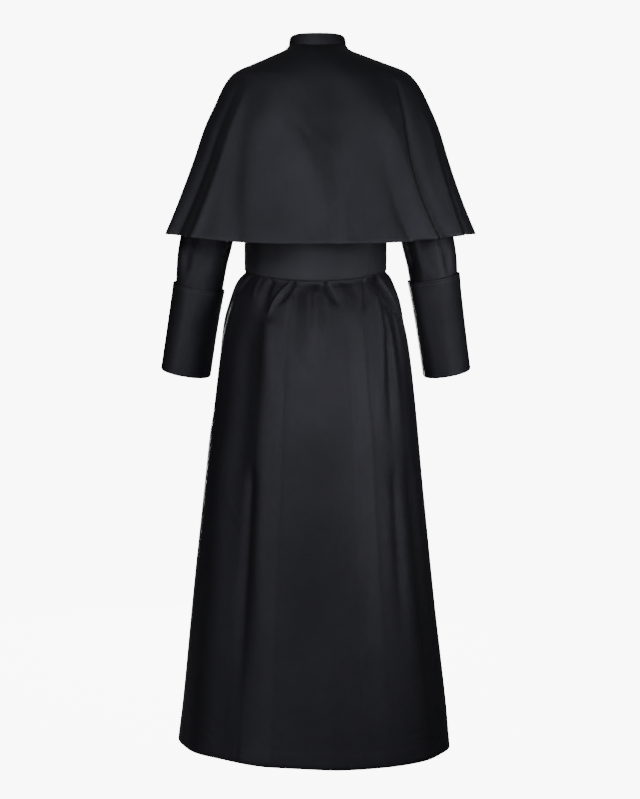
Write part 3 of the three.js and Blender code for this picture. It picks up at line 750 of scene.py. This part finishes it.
def cuff_point(side, turn, step):
    row = mix(CUFF_TOP[side], WRIST, np.clip(step, 0, 1))
    point = sleeve_point(side, turn, row)
    d = 0.05
    across = sleeve_point(side, turn + d, row) - sleeve_point(side, turn - d, row)
    low, high = np.maximum(row - d, 0), np.minimum(row + d, WRIST)
    out = unit(np.cross(across, sleeve_point(side, turn, high) - sleeve_point(side, turn, low)))
    down = unit(sleeve_point(side, turn, 0 * row + WRIST) - sleeve_point(side, turn, 0 * row + WRIST - 0.1))
    bend = np.radians(np.clip(step - 1, 0, 1) * 90)
    stand = CUFF_STAND + CUFF_FLARE * (1 - np.clip(step, 0, 1)) - CUFF_FOLD * (1 - np.cos(bend))
    inner = stand - np.clip(step - 2, 0, 1) * CUFF_UNDER
    soft = 0.9 * np.sin(np.radians(2 * turn + 40)) * np.clip(1 - step, 0, 1)
    soft += 0.5 * np.sin(np.radians(5 * turn) + 3 * step) * np.clip(1.6 - step, 0, 1)
    if side == "left":
        soft += CUFF_SPREAD * np.maximum(np.sin(np.radians(turn)), 0) * np.clip(step, 0, 1)
    return point + out * (inner + soft)[..., None] + down * (CUFF_FOLD * np.sin(bend))[..., None]


def cuff(side):
    turn = np.arange(0, 360, 4.0)[None, :]
    step = spaced(0, 40, 1, 8, 2, 3, 3)[:, None]
    points = cuff_point(side, turn, step + 0 * turn)
    return sheet_mesh(f"cuff_{side}_cloth", mirrored(points, side), closed=True, thick=1.6)


cuffs = {side: cuff(side) for side in ("left", "right")}

# %% [markdown]
# ## Collar, belt and cape
# The collar is a stiffened band that stands on the neck seam. The belt is a flat band of doubled cloth,
# pulled level with a dip at the centre back. The cape goes on last and hides the armholes.

# %% Collar
COLLAR_SEAM = {"side": 58.6, "back": 58.6, "front": 68.6}
COLLAR_RIM = {"side": 57, "back": 57.5, "front": 65}
COLLAR_GAP = 2.2


def collar_point(turn, share):
    rim = oval(COLLAR_RIM, turn, -around(28, 26, 1, turn))
    seam = oval(COLLAR_SEAM, turn, -around(0.4, 8.4, -21.6, turn))
    share = np.asarray(share)[..., None]
    bulge = 0.8 * np.sin(math.pi * share)
    point = mix(rim, seam, share)
    return point + bulge * unit(point * np.array([1.0, 1.0, 0.0]))


turn = np.linspace(COLLAR_GAP - 180, 180 - COLLAR_GAP, 181)[None, :]
share = np.linspace(0, 1, 15)[:, None]
collar = sheet_mesh("collar_cloth", seam_inset(collar_point(turn, share + 0 * turn)), thick=2.2)

# %% Belt
BELT = {"side": 145.5, "back": 110.5, "front": 112.5, "sway": 4}
BELT_OVER, BELT_CLEAR, BELT_RISE = 24, 2, 12
BELT_WALL, BELT_STEP = 2.0, 2.6
# Small dents of the pulled band: turn, depth, half width and how far it leans from the top edge to the bottom
BELT_DENTS = [
    (38, -1.1, 8, 6),
    (14, 0.8, 9, -5),
    (-9, -0.8, 7, 4),
    (-34, 0.9, 9, -6),
    (-58, -1.0, 8, 5),
    (72, 0.8, 9, 4),
    (120, -0.9, 9, -4),
    (-130, -0.9, 8, 5),
]


def belt_point(turn, share):
    drop = mix(BELT_TOP, BELT_BOTTOM, share)
    lift = BELT_STEP * ease((turn - 180 + BELT_OVER + BELT_CLEAR + BELT_RISE) / BELT_RISE)
    size = dict(BELT, side=BELT["side"] + lift, front=BELT["front"] + lift)
    out = 0.5 * np.sin(math.pi * share)
    for centre, depth, wide, lean in BELT_DENTS:
        out = out + depth * fold_line(turn, centre + lean * (share - 0.5), wide, 2) * (0.4 + 0.6 * share)
    return push(oval(size, turn, drop + belt_dip(turn, drop)), turn, out)


turn = np.linspace(180 - BELT_OVER - 360, 180, 301)[None, :]
share = spaced(0, 28, 0.965, 2, 1)[:, None]
# Painted shade along the belt's bottom edge, where it overhangs the skirt.
belt_edge_shade = np.where(share > 0.96, 1.0, 0.0) + 0 * turn
belt = sheet_mesh("belt_cloth", seam_inset(belt_point(turn, share + 0 * turn)), thick=BELT_WALL, painted_shade=belt_edge_shade)

# %% Cape
CAPE_GAP_NECK, CAPE_GAP_HEM = 2.0, 24.0
CAPE_HEM = 22


def cape_cloth(turn, share):
    return push(cape_point(turn, share), turn, cape_out(wrap(turn), share))


def half_gap(share):
    return mix(CAPE_GAP_NECK, CAPE_GAP_HEM, share) / degree_width(cape_point, share)


CAPE_SHARES = spaced(0, 4, 0.03, 22, 0.35, 70, 0.94, 3, 0.95, 4, 1)
# Where the cape is painted darker as shade: turn, share, amount, half width and half height
CAPE_PAINTED_SHADE = [
    (-3, 0.42, 0.9, 9, 0.13),
    (-2, 0.6, 0.7, 5, 0.08),
    (-38, 0.38, 0.8, 13, 0.1),
    (-64, 0.55, 0.4, 9, 0.16),
    (46, 0.36, 0.4, 9, 0.08),
    (33, 0.82, 0.5, 5, 0.18),
    (17, 0.93, 0.5, 10, 0.07),
    (-28, 0.88, 0.5, 5, 0.14),
    (130, 0.5, 0.5, 12, 0.14),
    (-142, 0.6, 0.5, 12, 0.14),
]


def cape_panel(name, start, end, columns):
    level = CAPE_SHARES[:, None]
    turn = start(level) + (end(level) - start(level)) * np.linspace(0, 1, columns + 1)[None, :]
    # Painted shade in patches over the cape's back and shoulders.
    painted_shade = shade_patches(CAPE_PAINTED_SHADE, wrap(turn), level)
    return sheet_mesh(name, seam_inset(cape_cloth(turn, level + 0 * turn)), hem=CAPE_HEM, painted_shade=painted_shade)


cape_back = cape_panel("cape_back_cloth", fixed(-90), fixed(90), 200)
cape_left = cape_panel("cape_front_left_cloth", fixed(90), lambda level: 180 - half_gap(level), 96)
cape_right = cape_panel("cape_front_right_cloth", lambda level: 180 + half_gap(level), fixed(270), 96)

# %% [markdown]
# ## Stitches
# A machine stitch is a short length of thread that dives into the cloth at both ends. Rows of them hold
# the edges of the belt, the cuffs, the collar, the cape and the button stand flat. Each row follows the
# cloth that it is sewn into, a few millimetres inside its edge.

# %% Stitches
STITCH, STITCH_GAP, THREAD = 3.0, 1.0, 0.24
RINGS = [(0.0, 0.25, -0.5), (0.2, 1.0, 0.1), (0.5, 1.0, 0.35), (0.8, 1.0, 0.1), (1.0, 0.25, -0.5)]


def stitch_row(path, normal):
    """The vertices and faces of one row of stitches along a path on the cloth."""
    run = lengths(path, 0)
    starts = np.arange(STITCH_GAP, run[-1] - STITCH, STITCH + STITCH_GAP)
    at = np.stack([starts + STITCH * ring[0] for ring in RINGS], axis=1)
    place = np.stack([np.interp(at, run, path[:, axis]) for axis in range(3)], axis=-1)
    out = unit(np.stack([np.interp(at, run, normal[:, axis]) for axis in range(3)], axis=-1))
    ahead = unit(place[:, -1] - place[:, 0])[:, None, :]
    side = unit(np.cross(np.broadcast_to(ahead, out.shape), out))
    angle = np.radians(np.arange(0, 360, 60))
    size = THREAD * np.array([ring[1] for ring in RINGS])[None, :, None, None]
    lift = THREAD * np.array([ring[2] for ring in RINGS])[None, :, None]
    ring = side[:, :, None, :] * np.cos(angle)[:, None] + out[:, :, None, :] * np.sin(angle)[:, None]
    points = (place + out * lift)[:, :, None, :] + ring * size
    rows, turns = len(RINGS), len(angle)
    first = (np.arange(len(starts)) * rows * turns)[:, None, None]
    j, i = np.arange(rows - 1)[None, :, None], np.arange(turns)[None, None, :]
    k = (i + 1) % turns
    quads = np.stack([first + j * turns + i, first + j * turns + k, first + (j + 1) * turns + k,
                      first + (j + 1) * turns + i], axis=-1).reshape(-1, 4)
    return points.reshape(-1, 3), quads


def stitches(name, rows):
    vertices, faces, count = [], [], 0
    for path, normal in rows:
        points, quads = stitch_row(path, normal)
        vertices.append(points)
        faces.append(quads + count)
        count += len(points)
    thing = make_object(name, np.concatenate(vertices) * MM, np.concatenate(faces))
    print(f"{name}: {2 * len(thing.data.polygons)} triangles")
    return thing


def surface_row(surface, turn, level, mirror=False):
    """A path on a surface and its normals, for turns and levels of the same length."""
    d = 0.2
    path = surface(turn, level)
    across = surface(turn + d, level) - surface(turn - d, level)
    small = 1e-3 * (np.ptp(level) + 1)
    down = surface(turn, level + small) - surface(turn, level - small)
    normal = unit(np.cross(across, down))
    if mirror:
        flip = np.array([-1.0, 1.0, 1.0])
        path, normal = path[::-1] * flip, normal[::-1] * flip
    return path, normal


def constant(value, like):
    return np.full_like(like, float(value))


# Where the rows lie: shares of each band's height, and widths of half the cape's gap and of the lap
BELT_ROWS, COLLAR_ROWS, CUFF_ROW = (0.045, 0.955), (0.12, 0.93), 0.045
CAPE_ROW, PLACKET_ROW = 1.25, 0.72


around_belt = np.linspace(180 - BELT_OVER - 358, 179, 700)
belt_stitches = stitches("belt_stitches", [
    surface_row(belt_point, around_belt, constant(share, around_belt)) for share in BELT_ROWS
])
around_collar = np.linspace(COLLAR_GAP - 178, 178 - COLLAR_GAP, 300)
collar_stitches = stitches("collar_stitches", [
    surface_row(collar_point, around_collar, constant(share, around_collar)) for share in COLLAR_ROWS
])
around_cuff = np.linspace(0, 360, 200)


def cuff_row(side):
    def on_cuff(turn, step):
        return cuff_point(side, turn, step)

    row = surface_row(on_cuff, around_cuff, constant(CUFF_ROW, around_cuff), mirror=side == "right")
    return stitches(f"cuff_{side}_stitches", [row])


cuff_stitches = {side: cuff_row(side) for side in ("left", "right")}
share_down = np.linspace(0.03, 0.985, 400)
cape_stitches = stitches("cape_stitches", [
    surface_row(cape_cloth, 180 - half_gap(share_down) * CAPE_ROW, share_down),
    surface_row(cape_cloth, 180 + half_gap(share_down) * CAPE_ROW, share_down),
])
level_down = np.linspace(34, 1380, 700)
placket_stitches = stitches("placket_stitches", [
    surface_row(cassock_point, lap_turn(level_down) * PLACKET_ROW - 180, level_down),
])

# %% [markdown]
# ## Buttons
# A small plain button closes the front at each step down the placket: a turned disc with a rounded rim,
# a shallow dish and a low dome. It is modelled once with inset and extrude steps and set in its places.

# %% Buttons
BUTTON_RADIUS, BUTTON_THICK, BUTTON_GAP = 7.0, 2.2, 0.45
BUTTON_DROPS = [67, 147, 227, 307, 500, 580, 660, 740, 820, 900, 980]


def button_shape():
    bpy.ops.object.select_all(action="DESELECT")
    bpy.ops.mesh.primitive_cylinder_add(vertices=32, radius=BUTTON_RADIUS * MM, depth=BUTTON_THICK * MM)
    shape = bpy.context.object
    bpy.ops.object.mode_set(mode="EDIT")
    bpy.ops.mesh.select_all(action="DESELECT")
    bpy.ops.mesh.select_mode(type="FACE")
    bpy.ops.object.mode_set(mode="OBJECT")
    for face in shape.data.polygons:
        face.select = face.normal.z > 0.9
    bpy.ops.object.mode_set(mode="EDIT")
    for inset, rise in ((0.9, 0.5), (0.7, -0.1), (0.5, -0.45), (1.2, 0.25), (1.6, 0.3)):
        bpy.ops.mesh.inset(thickness=inset * MM, depth=0)
        bpy.ops.transform.translate(value=(0, 0, rise * MM))
    bpy.ops.mesh.poke()
    bpy.ops.mesh.select_all(action="SELECT")
    bpy.ops.mesh.normals_make_consistent(inside=False)
    bpy.ops.object.mode_set(mode="OBJECT")
    bevel = shape.modifiers.new("bevel", "BEVEL")
    bevel.width = 0.35 * MM
    bevel.segments = 2
    bevel.limit_method = "ANGLE"
    bpy.ops.object.modifier_apply(modifier=bevel.name)
    bpy.ops.object.shade_smooth_by_angle(angle=math.radians(50))
    return shape


def button_places():
    for drop in BUTTON_DROPS:
        path, normal = surface_row(cassock_point, np.array([180.0]), np.array([float(drop)]))
        yield path[0], normal[0]


shape = button_shape()
buttons = []
for index, (place, normal) in enumerate(button_places()):
    z = unit(normal)
    x = unit(np.cross(np.array([0.0, 0.0, 1.0]), z))
    y = np.cross(z, x)
    middle = (place + z * (BUTTON_GAP + BUTTON_THICK / 2)) * MM
    matrix = [[x[r], y[r], z[r], middle[r]] for r in range(3)] + [[0, 0, 0, 1]]
    mesh = shape.data.copy()
    mesh.transform(Matrix(matrix))
    mesh.update()
    buttons.append(placed(f"button_{index + 1:02d}_turned", mesh))
bpy.data.objects.remove(shape)
print("buttons:", len(buttons))

# %% [markdown]
# ## The finish, in shared groups
# Black wool suiting isn't one flat black. Twill throws fine slanting ridges, the yarn is uneven, the
# nap catches light in soft clouds, and handled cloth keeps small rumples and a little pale fluff. Each
# of these is a node group that the materials share, with its scale and strength as sockets.


# %% Node groups
def make_group(name, inputs, outputs):
    tree = bpy.data.node_groups.new(name, "ShaderNodeTree")
    for label, value in inputs.items():
        if value is None:
            tree.interface.new_socket(label, in_out="INPUT", socket_type="NodeSocketVector")
        else:
            socket = tree.interface.new_socket(label, in_out="INPUT", socket_type="NodeSocketFloat")
            socket.default_value = value
    for label in outputs:
        tree.interface.new_socket(label, in_out="OUTPUT", socket_type="NodeSocketFloat")
    source = tree.nodes.new("NodeGroupInput")
    sink = tree.nodes.new("NodeGroupOutput")
    return tree, source.outputs, sink.inputs


def feed(tree, socket, value):
    """Link a socket to the value, or set it where the value is a plain one."""
    if isinstance(value, bpy.types.NodeSocket):
        tree.links.new(value, socket)
    else:
        socket.default_value = value


def node(tree, kind, out=0, settings=None, **inputs):
    """Add a node, set or link its inputs by name or place, and give back one output."""
    added = tree.nodes.new(kind)
    for label, value in (settings or {}).items():
        setattr(added, label, value)
    for label, value in inputs.items():
        key = int(label[1:]) if label[0] == "_" else label.replace("_", " ")
        feed(tree, added.inputs[key], value)
    return added.outputs[out]


def maths(tree, operation, a, b=0.0, c=0.0):
    return node(tree, "ShaderNodeMath", settings={"operation": operation}, _0=a, _1=b, _2=c)


def scaled(tree, vector, x, y, z):
    settings = {"operation": "MULTIPLY"}
    return node(tree, "ShaderNodeVectorMath", settings=settings, _0=vector, _1=(x, y, z))


def noise(tree, vector, scale, detail=2.0, rough=0.5):
    return node(tree, "ShaderNodeTexNoise", Vector=vector, Scale=scale, Detail=detail, Roughness=rough)


def twill_group():
    tree, given, result = make_group("twill weave", {"Cloth": None, "Pitch": 0.0009}, ["Height", "Shade"])
    parts = tree.nodes.new("ShaderNodeSeparateXYZ")
    tree.links.new(given["Cloth"], parts.inputs[0])
    wander = noise(tree, given["Cloth"], 220.0, 1.0)
    slope = maths(tree, "MULTIPLY_ADD", parts.outputs["Y"], 0.62, parts.outputs["X"])
    turns = maths(tree, "DIVIDE", slope, given["Pitch"])
    turns = maths(tree, "MULTIPLY_ADD", wander, 1.4, turns)
    ridge = maths(tree, "SINE", maths(tree, "MULTIPLY", turns, 2 * math.pi))
    picks = maths(tree, "SINE", maths(tree, "DIVIDE", parts.outputs["Y"], 0.00007))
    yarn = maths(tree, "MULTIPLY_ADD", picks, 0.2, ridge)
    tree.links.new(maths(tree, "MULTIPLY_ADD", yarn, 0.4, 0.5), result["Height"])
    tree.links.new(maths(tree, "MULTIPLY_ADD", ridge, 0.5, 0.5), result["Shade"])
    return tree


def tone_group():
    tree, given, result = make_group("uneven tone", {"Cloth": None, "Clouds": 5.0}, ["Cloud", "Slub"])
    clouds = noise(tree, given["Cloth"], given["Clouds"], 4.0, 0.55)
    tree.links.new(clouds, result["Cloud"])
    slub = noise(tree, scaled(tree, given["Cloth"], 900.0, 14.0, 0.0), 1.0, 1.0)
    tree.links.new(slub, result["Slub"])
    return tree


def rumple_group():
    tree, given, result = make_group("small rumples", {"Cloth": None, "Size": 14.0}, ["Height"])
    bend = noise(tree, given["Cloth"], 3.0, 1.0)
    stretched = scaled(tree, given["Cloth"], 1.0, 0.35, 1.0)
    moved = node(tree, "ShaderNodeVectorMath", settings={"operation": "ADD"}, _0=stretched, _1=bend)
    soft = noise(tree, moved, given["Size"], 2.0, 0.45)
    tree.links.new(soft, result["Height"])
    return tree


def fluff_group():
    tree, given, result = make_group("fluff", {"Cloth": None, "Amount": 0.5}, ["Mask"])
    long_way = scaled(tree, given["Cloth"], 260.0, 120.0, 1.0)
    specks = node(tree, "ShaderNodeTexVoronoi", Vector=long_way, Scale=1.0)
    thin = maths(tree, "LESS_THAN", specks, 0.07)
    some = maths(tree, "GREATER_THAN", noise(tree, given["Cloth"], 60.0, 1.0), 0.56)
    mask = maths(tree, "MULTIPLY", maths(tree, "MULTIPLY", thin, some), given["Amount"])
    tree.links.new(mask, result["Mask"])
    return tree


groups = {"twill": twill_group(), "tone": tone_group(), "rumple": rumple_group(), "fluff": fluff_group()}
print("node groups:", [tree.name for tree in groups.values()])

# %% [markdown]
# ## Materials
# One recipe makes every cloth here, and each piece gets its own numbers: the cape has the deepest
# rumples, the cuffs and the collar are a closer, evener cloth, and the pressed belt has the finest twill
# and is painted lighter, as painted light in the shade under the cape. In patches, and deep in the
# creases, the colour is darkened as painted shade and the cloth is rougher. Each sheet carries that as
# a value at its points.


# %% Cloth materials
def use(tree, group, **inputs):
    added = tree.nodes.new("ShaderNodeGroup")
    added.node_tree = groups[group]
    for label, value in inputs.items():
        feed(tree, added.inputs[label], value)
    return added.outputs


def mixed(tree, factor, a, b):
    added = tree.nodes.new("ShaderNodeMix")
    added.data_type = "RGBA"
    for place, value in ((0, factor), (6, a), (7, b)):
        feed(tree, added.inputs[place], value)
    return added.outputs[2]


def new_material(name):
    material = bpy.data.materials.new(name)
    material.use_nodes = True
    return material, material.node_tree, material.node_tree.nodes["Principled BSDF"]


def cloth_material(name, dark, light, pitch, rough, sheen, rumple, clouds=5.0):
    material, tree, shader = new_material(name)
    place = tree.nodes.new("ShaderNodeUVMap")
    place.uv_map = "cloth"
    cloth = place.outputs[0]
    weave = use(tree, "twill", Cloth=cloth, Pitch=pitch)
    tone = use(tree, "tone", Cloth=cloth, Clouds=clouds)
    bumps = use(tree, "rumple", Cloth=cloth, Size=13.0)
    specks = use(tree, "fluff", Cloth=cloth, Amount=0.35)
    cloudy = node(tree, "ShaderNodeMapRange", Value=tone["Cloud"], From_Min=0.3, From_Max=0.7)
    colour = mixed(tree, cloudy, (*dark, 1), (*light, 1))
    colour = mixed(tree, maths(tree, "MULTIPLY", tone["Slub"], 0.3), colour, (*[c * 0.7 for c in dark], 1))
    threads = maths(tree, "MULTIPLY", weave["Shade"], 0.22)
    colour = mixed(tree, threads, colour, (*[c * 1.6 for c in light], 1))
    colour = mixed(tree, specks["Mask"], colour, (0.16, 0.16, 0.17, 1))
    # The turned hem is painted a little lighter, a painted sheen along the pressed edge.
    edge = node(tree, "ShaderNodeAttribute", out="Fac", settings={"attribute_name": "turned"})
    colour = mixed(tree, maths(tree, "MULTIPLY", edge, 0.12), colour, (*[c * 1.5 for c in light], 1))
    # Painted shade: the colour darkens where a sheet marks shade at its points, and the cloth is rougher
    # there.
    painted_shade = node(tree, "ShaderNodeAttribute", out="Fac", settings={"attribute_name": "painted_shade"})
    colour = mixed(tree, maths(tree, "MULTIPLY", painted_shade, 0.8), colour, (*[c * 0.5 for c in dark], 1))
    tree.links.new(colour, shader.inputs["Base Color"])
    worn = node(tree, "ShaderNodeMapRange", Value=tone["Cloud"], From_Min=0.3, From_Max=0.7,
                To_Min=rough + 0.05, To_Max=rough - 0.05)
    worn = maths(tree, "MULTIPLY_ADD", painted_shade, 0.16, worn)
    tree.links.new(worn, shader.inputs["Roughness"])
    shader.inputs["Specular IOR Level"].default_value = 0.35
    shader.inputs["Specular Tint"].default_value = (0.83, 0.83, 1, 1)
    shader.inputs["Sheen Weight"].default_value = sheen
    shader.inputs["Sheen Roughness"].default_value = 0.45
    shader.inputs["Sheen Tint"].default_value = (0.55, 0.56, 0.62, 1)
    wavy = node(tree, "ShaderNodeBump", Strength=rumple, Distance=0.004, Height=bumps["Height"])
    woven = node(tree, "ShaderNodeBump", Strength=0.5, Distance=0.00025, Height=weave["Height"], Normal=wavy)
    tree.links.new(woven, shader.inputs["Normal"])
    return material


CASSOCK = cloth_material(
    "cassock cloth", (0.0016, 0.0015, 0.0022), (0.0052, 0.005, 0.0064), 0.0009, 0.55, 0.01, 0.3)
CAPE_CLOTH = cloth_material(
    "cape cloth", (0.0014, 0.0014, 0.0019), (0.0052, 0.0053, 0.0064), 0.0009, 0.55, 0.01, 0.35)
CUFF_CLOTH = cloth_material(
    "cuff cloth", (0.0018, 0.0018, 0.0024), (0.0042, 0.004, 0.005), 0.0008, 0.55, 0.01, 0.25)
COLLAR_CLOTH = cloth_material(
    "collar cloth", (0.002, 0.002, 0.0026), (0.0036, 0.0036, 0.0044), 0.0008, 0.57, 0.01, 0.1)
# The belt's cloth is painted lighter than the cassock's, as painted light in the shade under the cape's hem.
BELT_CLOTH = cloth_material(
    "belt cloth", (0.0052, 0.0051, 0.0062), (0.0088, 0.0087, 0.0102), 0.0007, 0.52, 0.01, 0.2)


# %% Thread and button materials
def thread_material():
    material, tree, shader = new_material("thread")
    where = tree.nodes.new("ShaderNodeTexCoord").outputs["Object"]
    plies = noise(tree, where, 2500.0, 1.0)
    colour = mixed(tree, plies, (0.012, 0.012, 0.014, 1), (0.034, 0.034, 0.038, 1))
    tree.links.new(colour, shader.inputs["Base Color"])
    shader.inputs["Roughness"].default_value = 0.5
    shader.inputs["Sheen Weight"].default_value = 0.1
    twisted = node(tree, "ShaderNodeBump", Strength=0.4, Distance=0.0001, Height=plies)
    tree.links.new(twisted, shader.inputs["Normal"])
    return material


def button_material():
    material, tree, shader = new_material("button")
    where = tree.nodes.new("ShaderNodeTexCoord").outputs["Object"]
    marble = noise(tree, where, 160.0, 3.0)
    wear = noise(tree, where, 900.0, 2.0, 0.6)
    colour = mixed(tree, marble, (0.008, 0.008, 0.009, 1), (0.018, 0.017, 0.019, 1))
    tree.links.new(colour, shader.inputs["Base Color"])
    shine = node(tree, "ShaderNodeMapRange", Value=wear, From_Min=0.3, From_Max=0.7, To_Min=0.26, To_Max=0.44)
    tree.links.new(shine, shader.inputs["Roughness"])
    scuffed = node(tree, "ShaderNodeBump", Strength=0.15, Distance=0.0001, Height=wear)
    tree.links.new(scuffed, shader.inputs["Normal"])
    return material


THREAD_BLACK = thread_material()
BUTTON_BLACK = button_material()

# %% [markdown]
# ## Joining the pieces to the frame
# Each piece of cloth stands for the solid it was cut from, which is hidden, takes the material listed
# for it and moves with the body. Its flat size is what a cutter would lay out: the panel's own cloth
# measured along and across.

# %% Pieces, slots and flat sizes
cuts = [
    (back, "back", CASSOCK, "cassock_cloth", "gathered", (0.86, 1.48), 0.85),
    (front_left, "front_left", CASSOCK, "cassock_cloth", "gathered", (0.43, 1.47), 0.446),
    (front_right, "front_right", CASSOCK, "cassock_cloth", "gathered", (0.43, 1.48), 0.448),
    (sleeves["left"], "sleeve_left", CASSOCK, "cassock_cloth", "hung", (0.40, 0.62), 0.163),
    (sleeves["right"], "sleeve_right", CASSOCK, "cassock_cloth", "hung", (0.40, 0.62), 0.163),
    (cuffs["left"], "cuff_left", CUFF_CLOTH, "cuff_cloth", "folded", (0.34, 0.19), 0.061),
    (cuffs["right"], "cuff_right", CUFF_CLOTH, "cuff_cloth", "folded", (0.34, 0.21), 0.067),
    (collar, "collar", COLLAR_CLOTH, "collar_cloth", "stretched", (0.38, 0.026), 0.0084),
    (cape_back, "cape_back", CAPE_CLOTH, "cape_cloth", "hung", (0.85, 0.5), 0.276),
    (cape_left, "cape_front_left", CAPE_CLOTH, "cape_cloth", "hung", (0.4, 0.48), 0.12),
    (cape_right, "cape_front_right", CAPE_CLOTH, "cape_cloth", "hung", (0.39, 0.49), 0.12),
    (belt, "belt", BELT_CLOTH, "belt_cloth", "stretched", (0.88, 0.097), 0.085),
]
SEWN = {
    "front_left": [placket_stitches],
    "cuff_left": [cuff_stitches["left"]],
    "cuff_right": [cuff_stitches["right"]],
    "collar": [collar_stitches],
    "cape_front_left": [cape_stitches],
    "belt": [belt_stitches],
}
RESTS_ON = {
    "sleeve_left": ["back"],
    "sleeve_right": ["back"],
    "cuff_left": ["sleeve_left"],
    "cuff_right": ["sleeve_right"],
    "collar": ["back"],
    "cape_back": ["back"],
    "cape_front_left": ["front_left"],
    "cape_front_right": ["front_right"],
    "belt": ["back"],
}
for piece, solid, material, slot, held, flat, area in cuts:
    piece.data.materials.append(material)
    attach(piece, "root")
    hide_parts(solid)
    threads = SEWN.get(solid, [])
    for thread in threads:
        thread.data.materials.append(THREAD_BLACK)
        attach(thread, "root")
    rests_on = RESTS_ON.get(solid, [])
    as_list(rests_on)
    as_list(threads)
for index, button in enumerate(buttons):
    button.data.materials.append(BUTTON_BLACK)
    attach(button, "root")
    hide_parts(f"button_{index + 1:02d}")
print("pieces of cloth:", len(cuts))

# %% [markdown]
# ## Light and floor
# A plain white studio: a floor that sweeps up into a wall all round. Black cloth shows little but what
# it mirrors, and bright paper behind it would draw a pale rim round every edge. So the paper glows for
# the camera alone and stays dark for the cloth, as black screens beside a garment do. Two soft lights
# from the viewer's left draw the folds, weaker ones on the right and near the waist open up the far
# side, and one lights the front.

# %% Floor, backdrop and lights
FLOOR = -1.53
ROOM, CORNER, WALL = 5.5, 1.5, 3.4


def studio():
    """A round floor whose edge sweeps up into a wall, so that no corner shows from any side."""
    profile = [(0.0, FLOOR), (2.5, FLOOR), (ROOM, FLOOR)]
    for bend in np.radians(np.arange(10, 91, 10)):
        profile.append((ROOM + CORNER * math.sin(bend), FLOOR + CORNER * (1 - math.cos(bend))))
    profile.append((ROOM + CORNER, WALL))
    turns = np.radians(np.arange(0, 360, 5))
    rings = [(r * math.cos(t), r * math.sin(t), z) for r, z in profile[1:] for t in turns]
    count = len(turns)
    faces = [
        (k * count + i, k * count + (i + 1) % count, (k + 1) * count + (i + 1) % count, (k + 1) * count + i)
        for k in range(len(profile) - 2) for i in range(count)
    ]
    middle = len(rings)
    triangles = [(i, (i + 1) % count, middle) for i in range(count)]
    mesh = bpy.data.meshes.new("studio")
    mesh.from_pydata(rings + [(0.0, 0.0, FLOOR)], [], [face[::-1] for face in faces] + triangles)
    mesh.polygons.foreach_set("use_smooth", np.ones(len(mesh.polygons), bool))
    return placed("studio", mesh)


def soft_light(name, place, aim, size, power, spread=180):
    data = bpy.data.lights.new(name, "AREA")
    data.shape = "SQUARE"
    data.size = size
    data.energy = power
    data.spread = math.radians(spread)
    lamp = placed(name, data)
    ray = np.array(aim) - np.array(place)
    lamp.location = place
    lamp.visible_camera = False
    lamp.rotation_euler = (
        math.atan2(math.hypot(ray[0], ray[1]), -ray[2]), 0, math.atan2(ray[1], ray[0]) - math.pi / 2)
    return lamp


room = studio()
paper, tree, glow = new_material("pale paper")
seen = tree.nodes.new("ShaderNodeLightPath").outputs["Is Camera Ray"]
tree.links.new(mixed(tree, seen, (0, 0, 0, 1), (1, 1, 1, 1)), glow.inputs["Emission Color"])
glow.inputs["Emission Strength"].default_value = 9.0
glow.inputs["Base Color"].default_value = (0.03, 0.03, 0.031, 1)
glow.inputs["Roughness"].default_value = 0.9
room.data.materials.append(paper)

lights = [
    soft_light("left", (0.95, 1.5, 0.45), (0, 0, -0.25), 0.6, 16),
    soft_light("right", (-1.3, 0.6, -0.1), (-0.1, 0.15, -0.62), 0.6, 1.0, 70),
    soft_light("near", (-0.7, 2.4, -0.15), (0, 0, -0.38), 0.6, 2.2, 50),
    soft_light("low left", (1.1, 2.0, -0.85), (0, 0, -0.7), 0.7, 25),
    soft_light("low right", (-1.4, 0.9, -0.75), (0, 0, -0.85), 0.7, 4.6, 110),
    soft_light("front", (0.35, -3.2, -0.5), (0, 0, -0.6), 1.4, 200),
]

world = bpy.data.worlds.new("studio")
bpy.context.scene.world = world
world.use_nodes = True
world.node_tree.nodes["Background"].inputs["Color"].default_value = (1, 1, 1, 1)
world.node_tree.nodes["Background"].inputs["Strength"].default_value = 0.1
print("lights:", [lamp.name for lamp in lights])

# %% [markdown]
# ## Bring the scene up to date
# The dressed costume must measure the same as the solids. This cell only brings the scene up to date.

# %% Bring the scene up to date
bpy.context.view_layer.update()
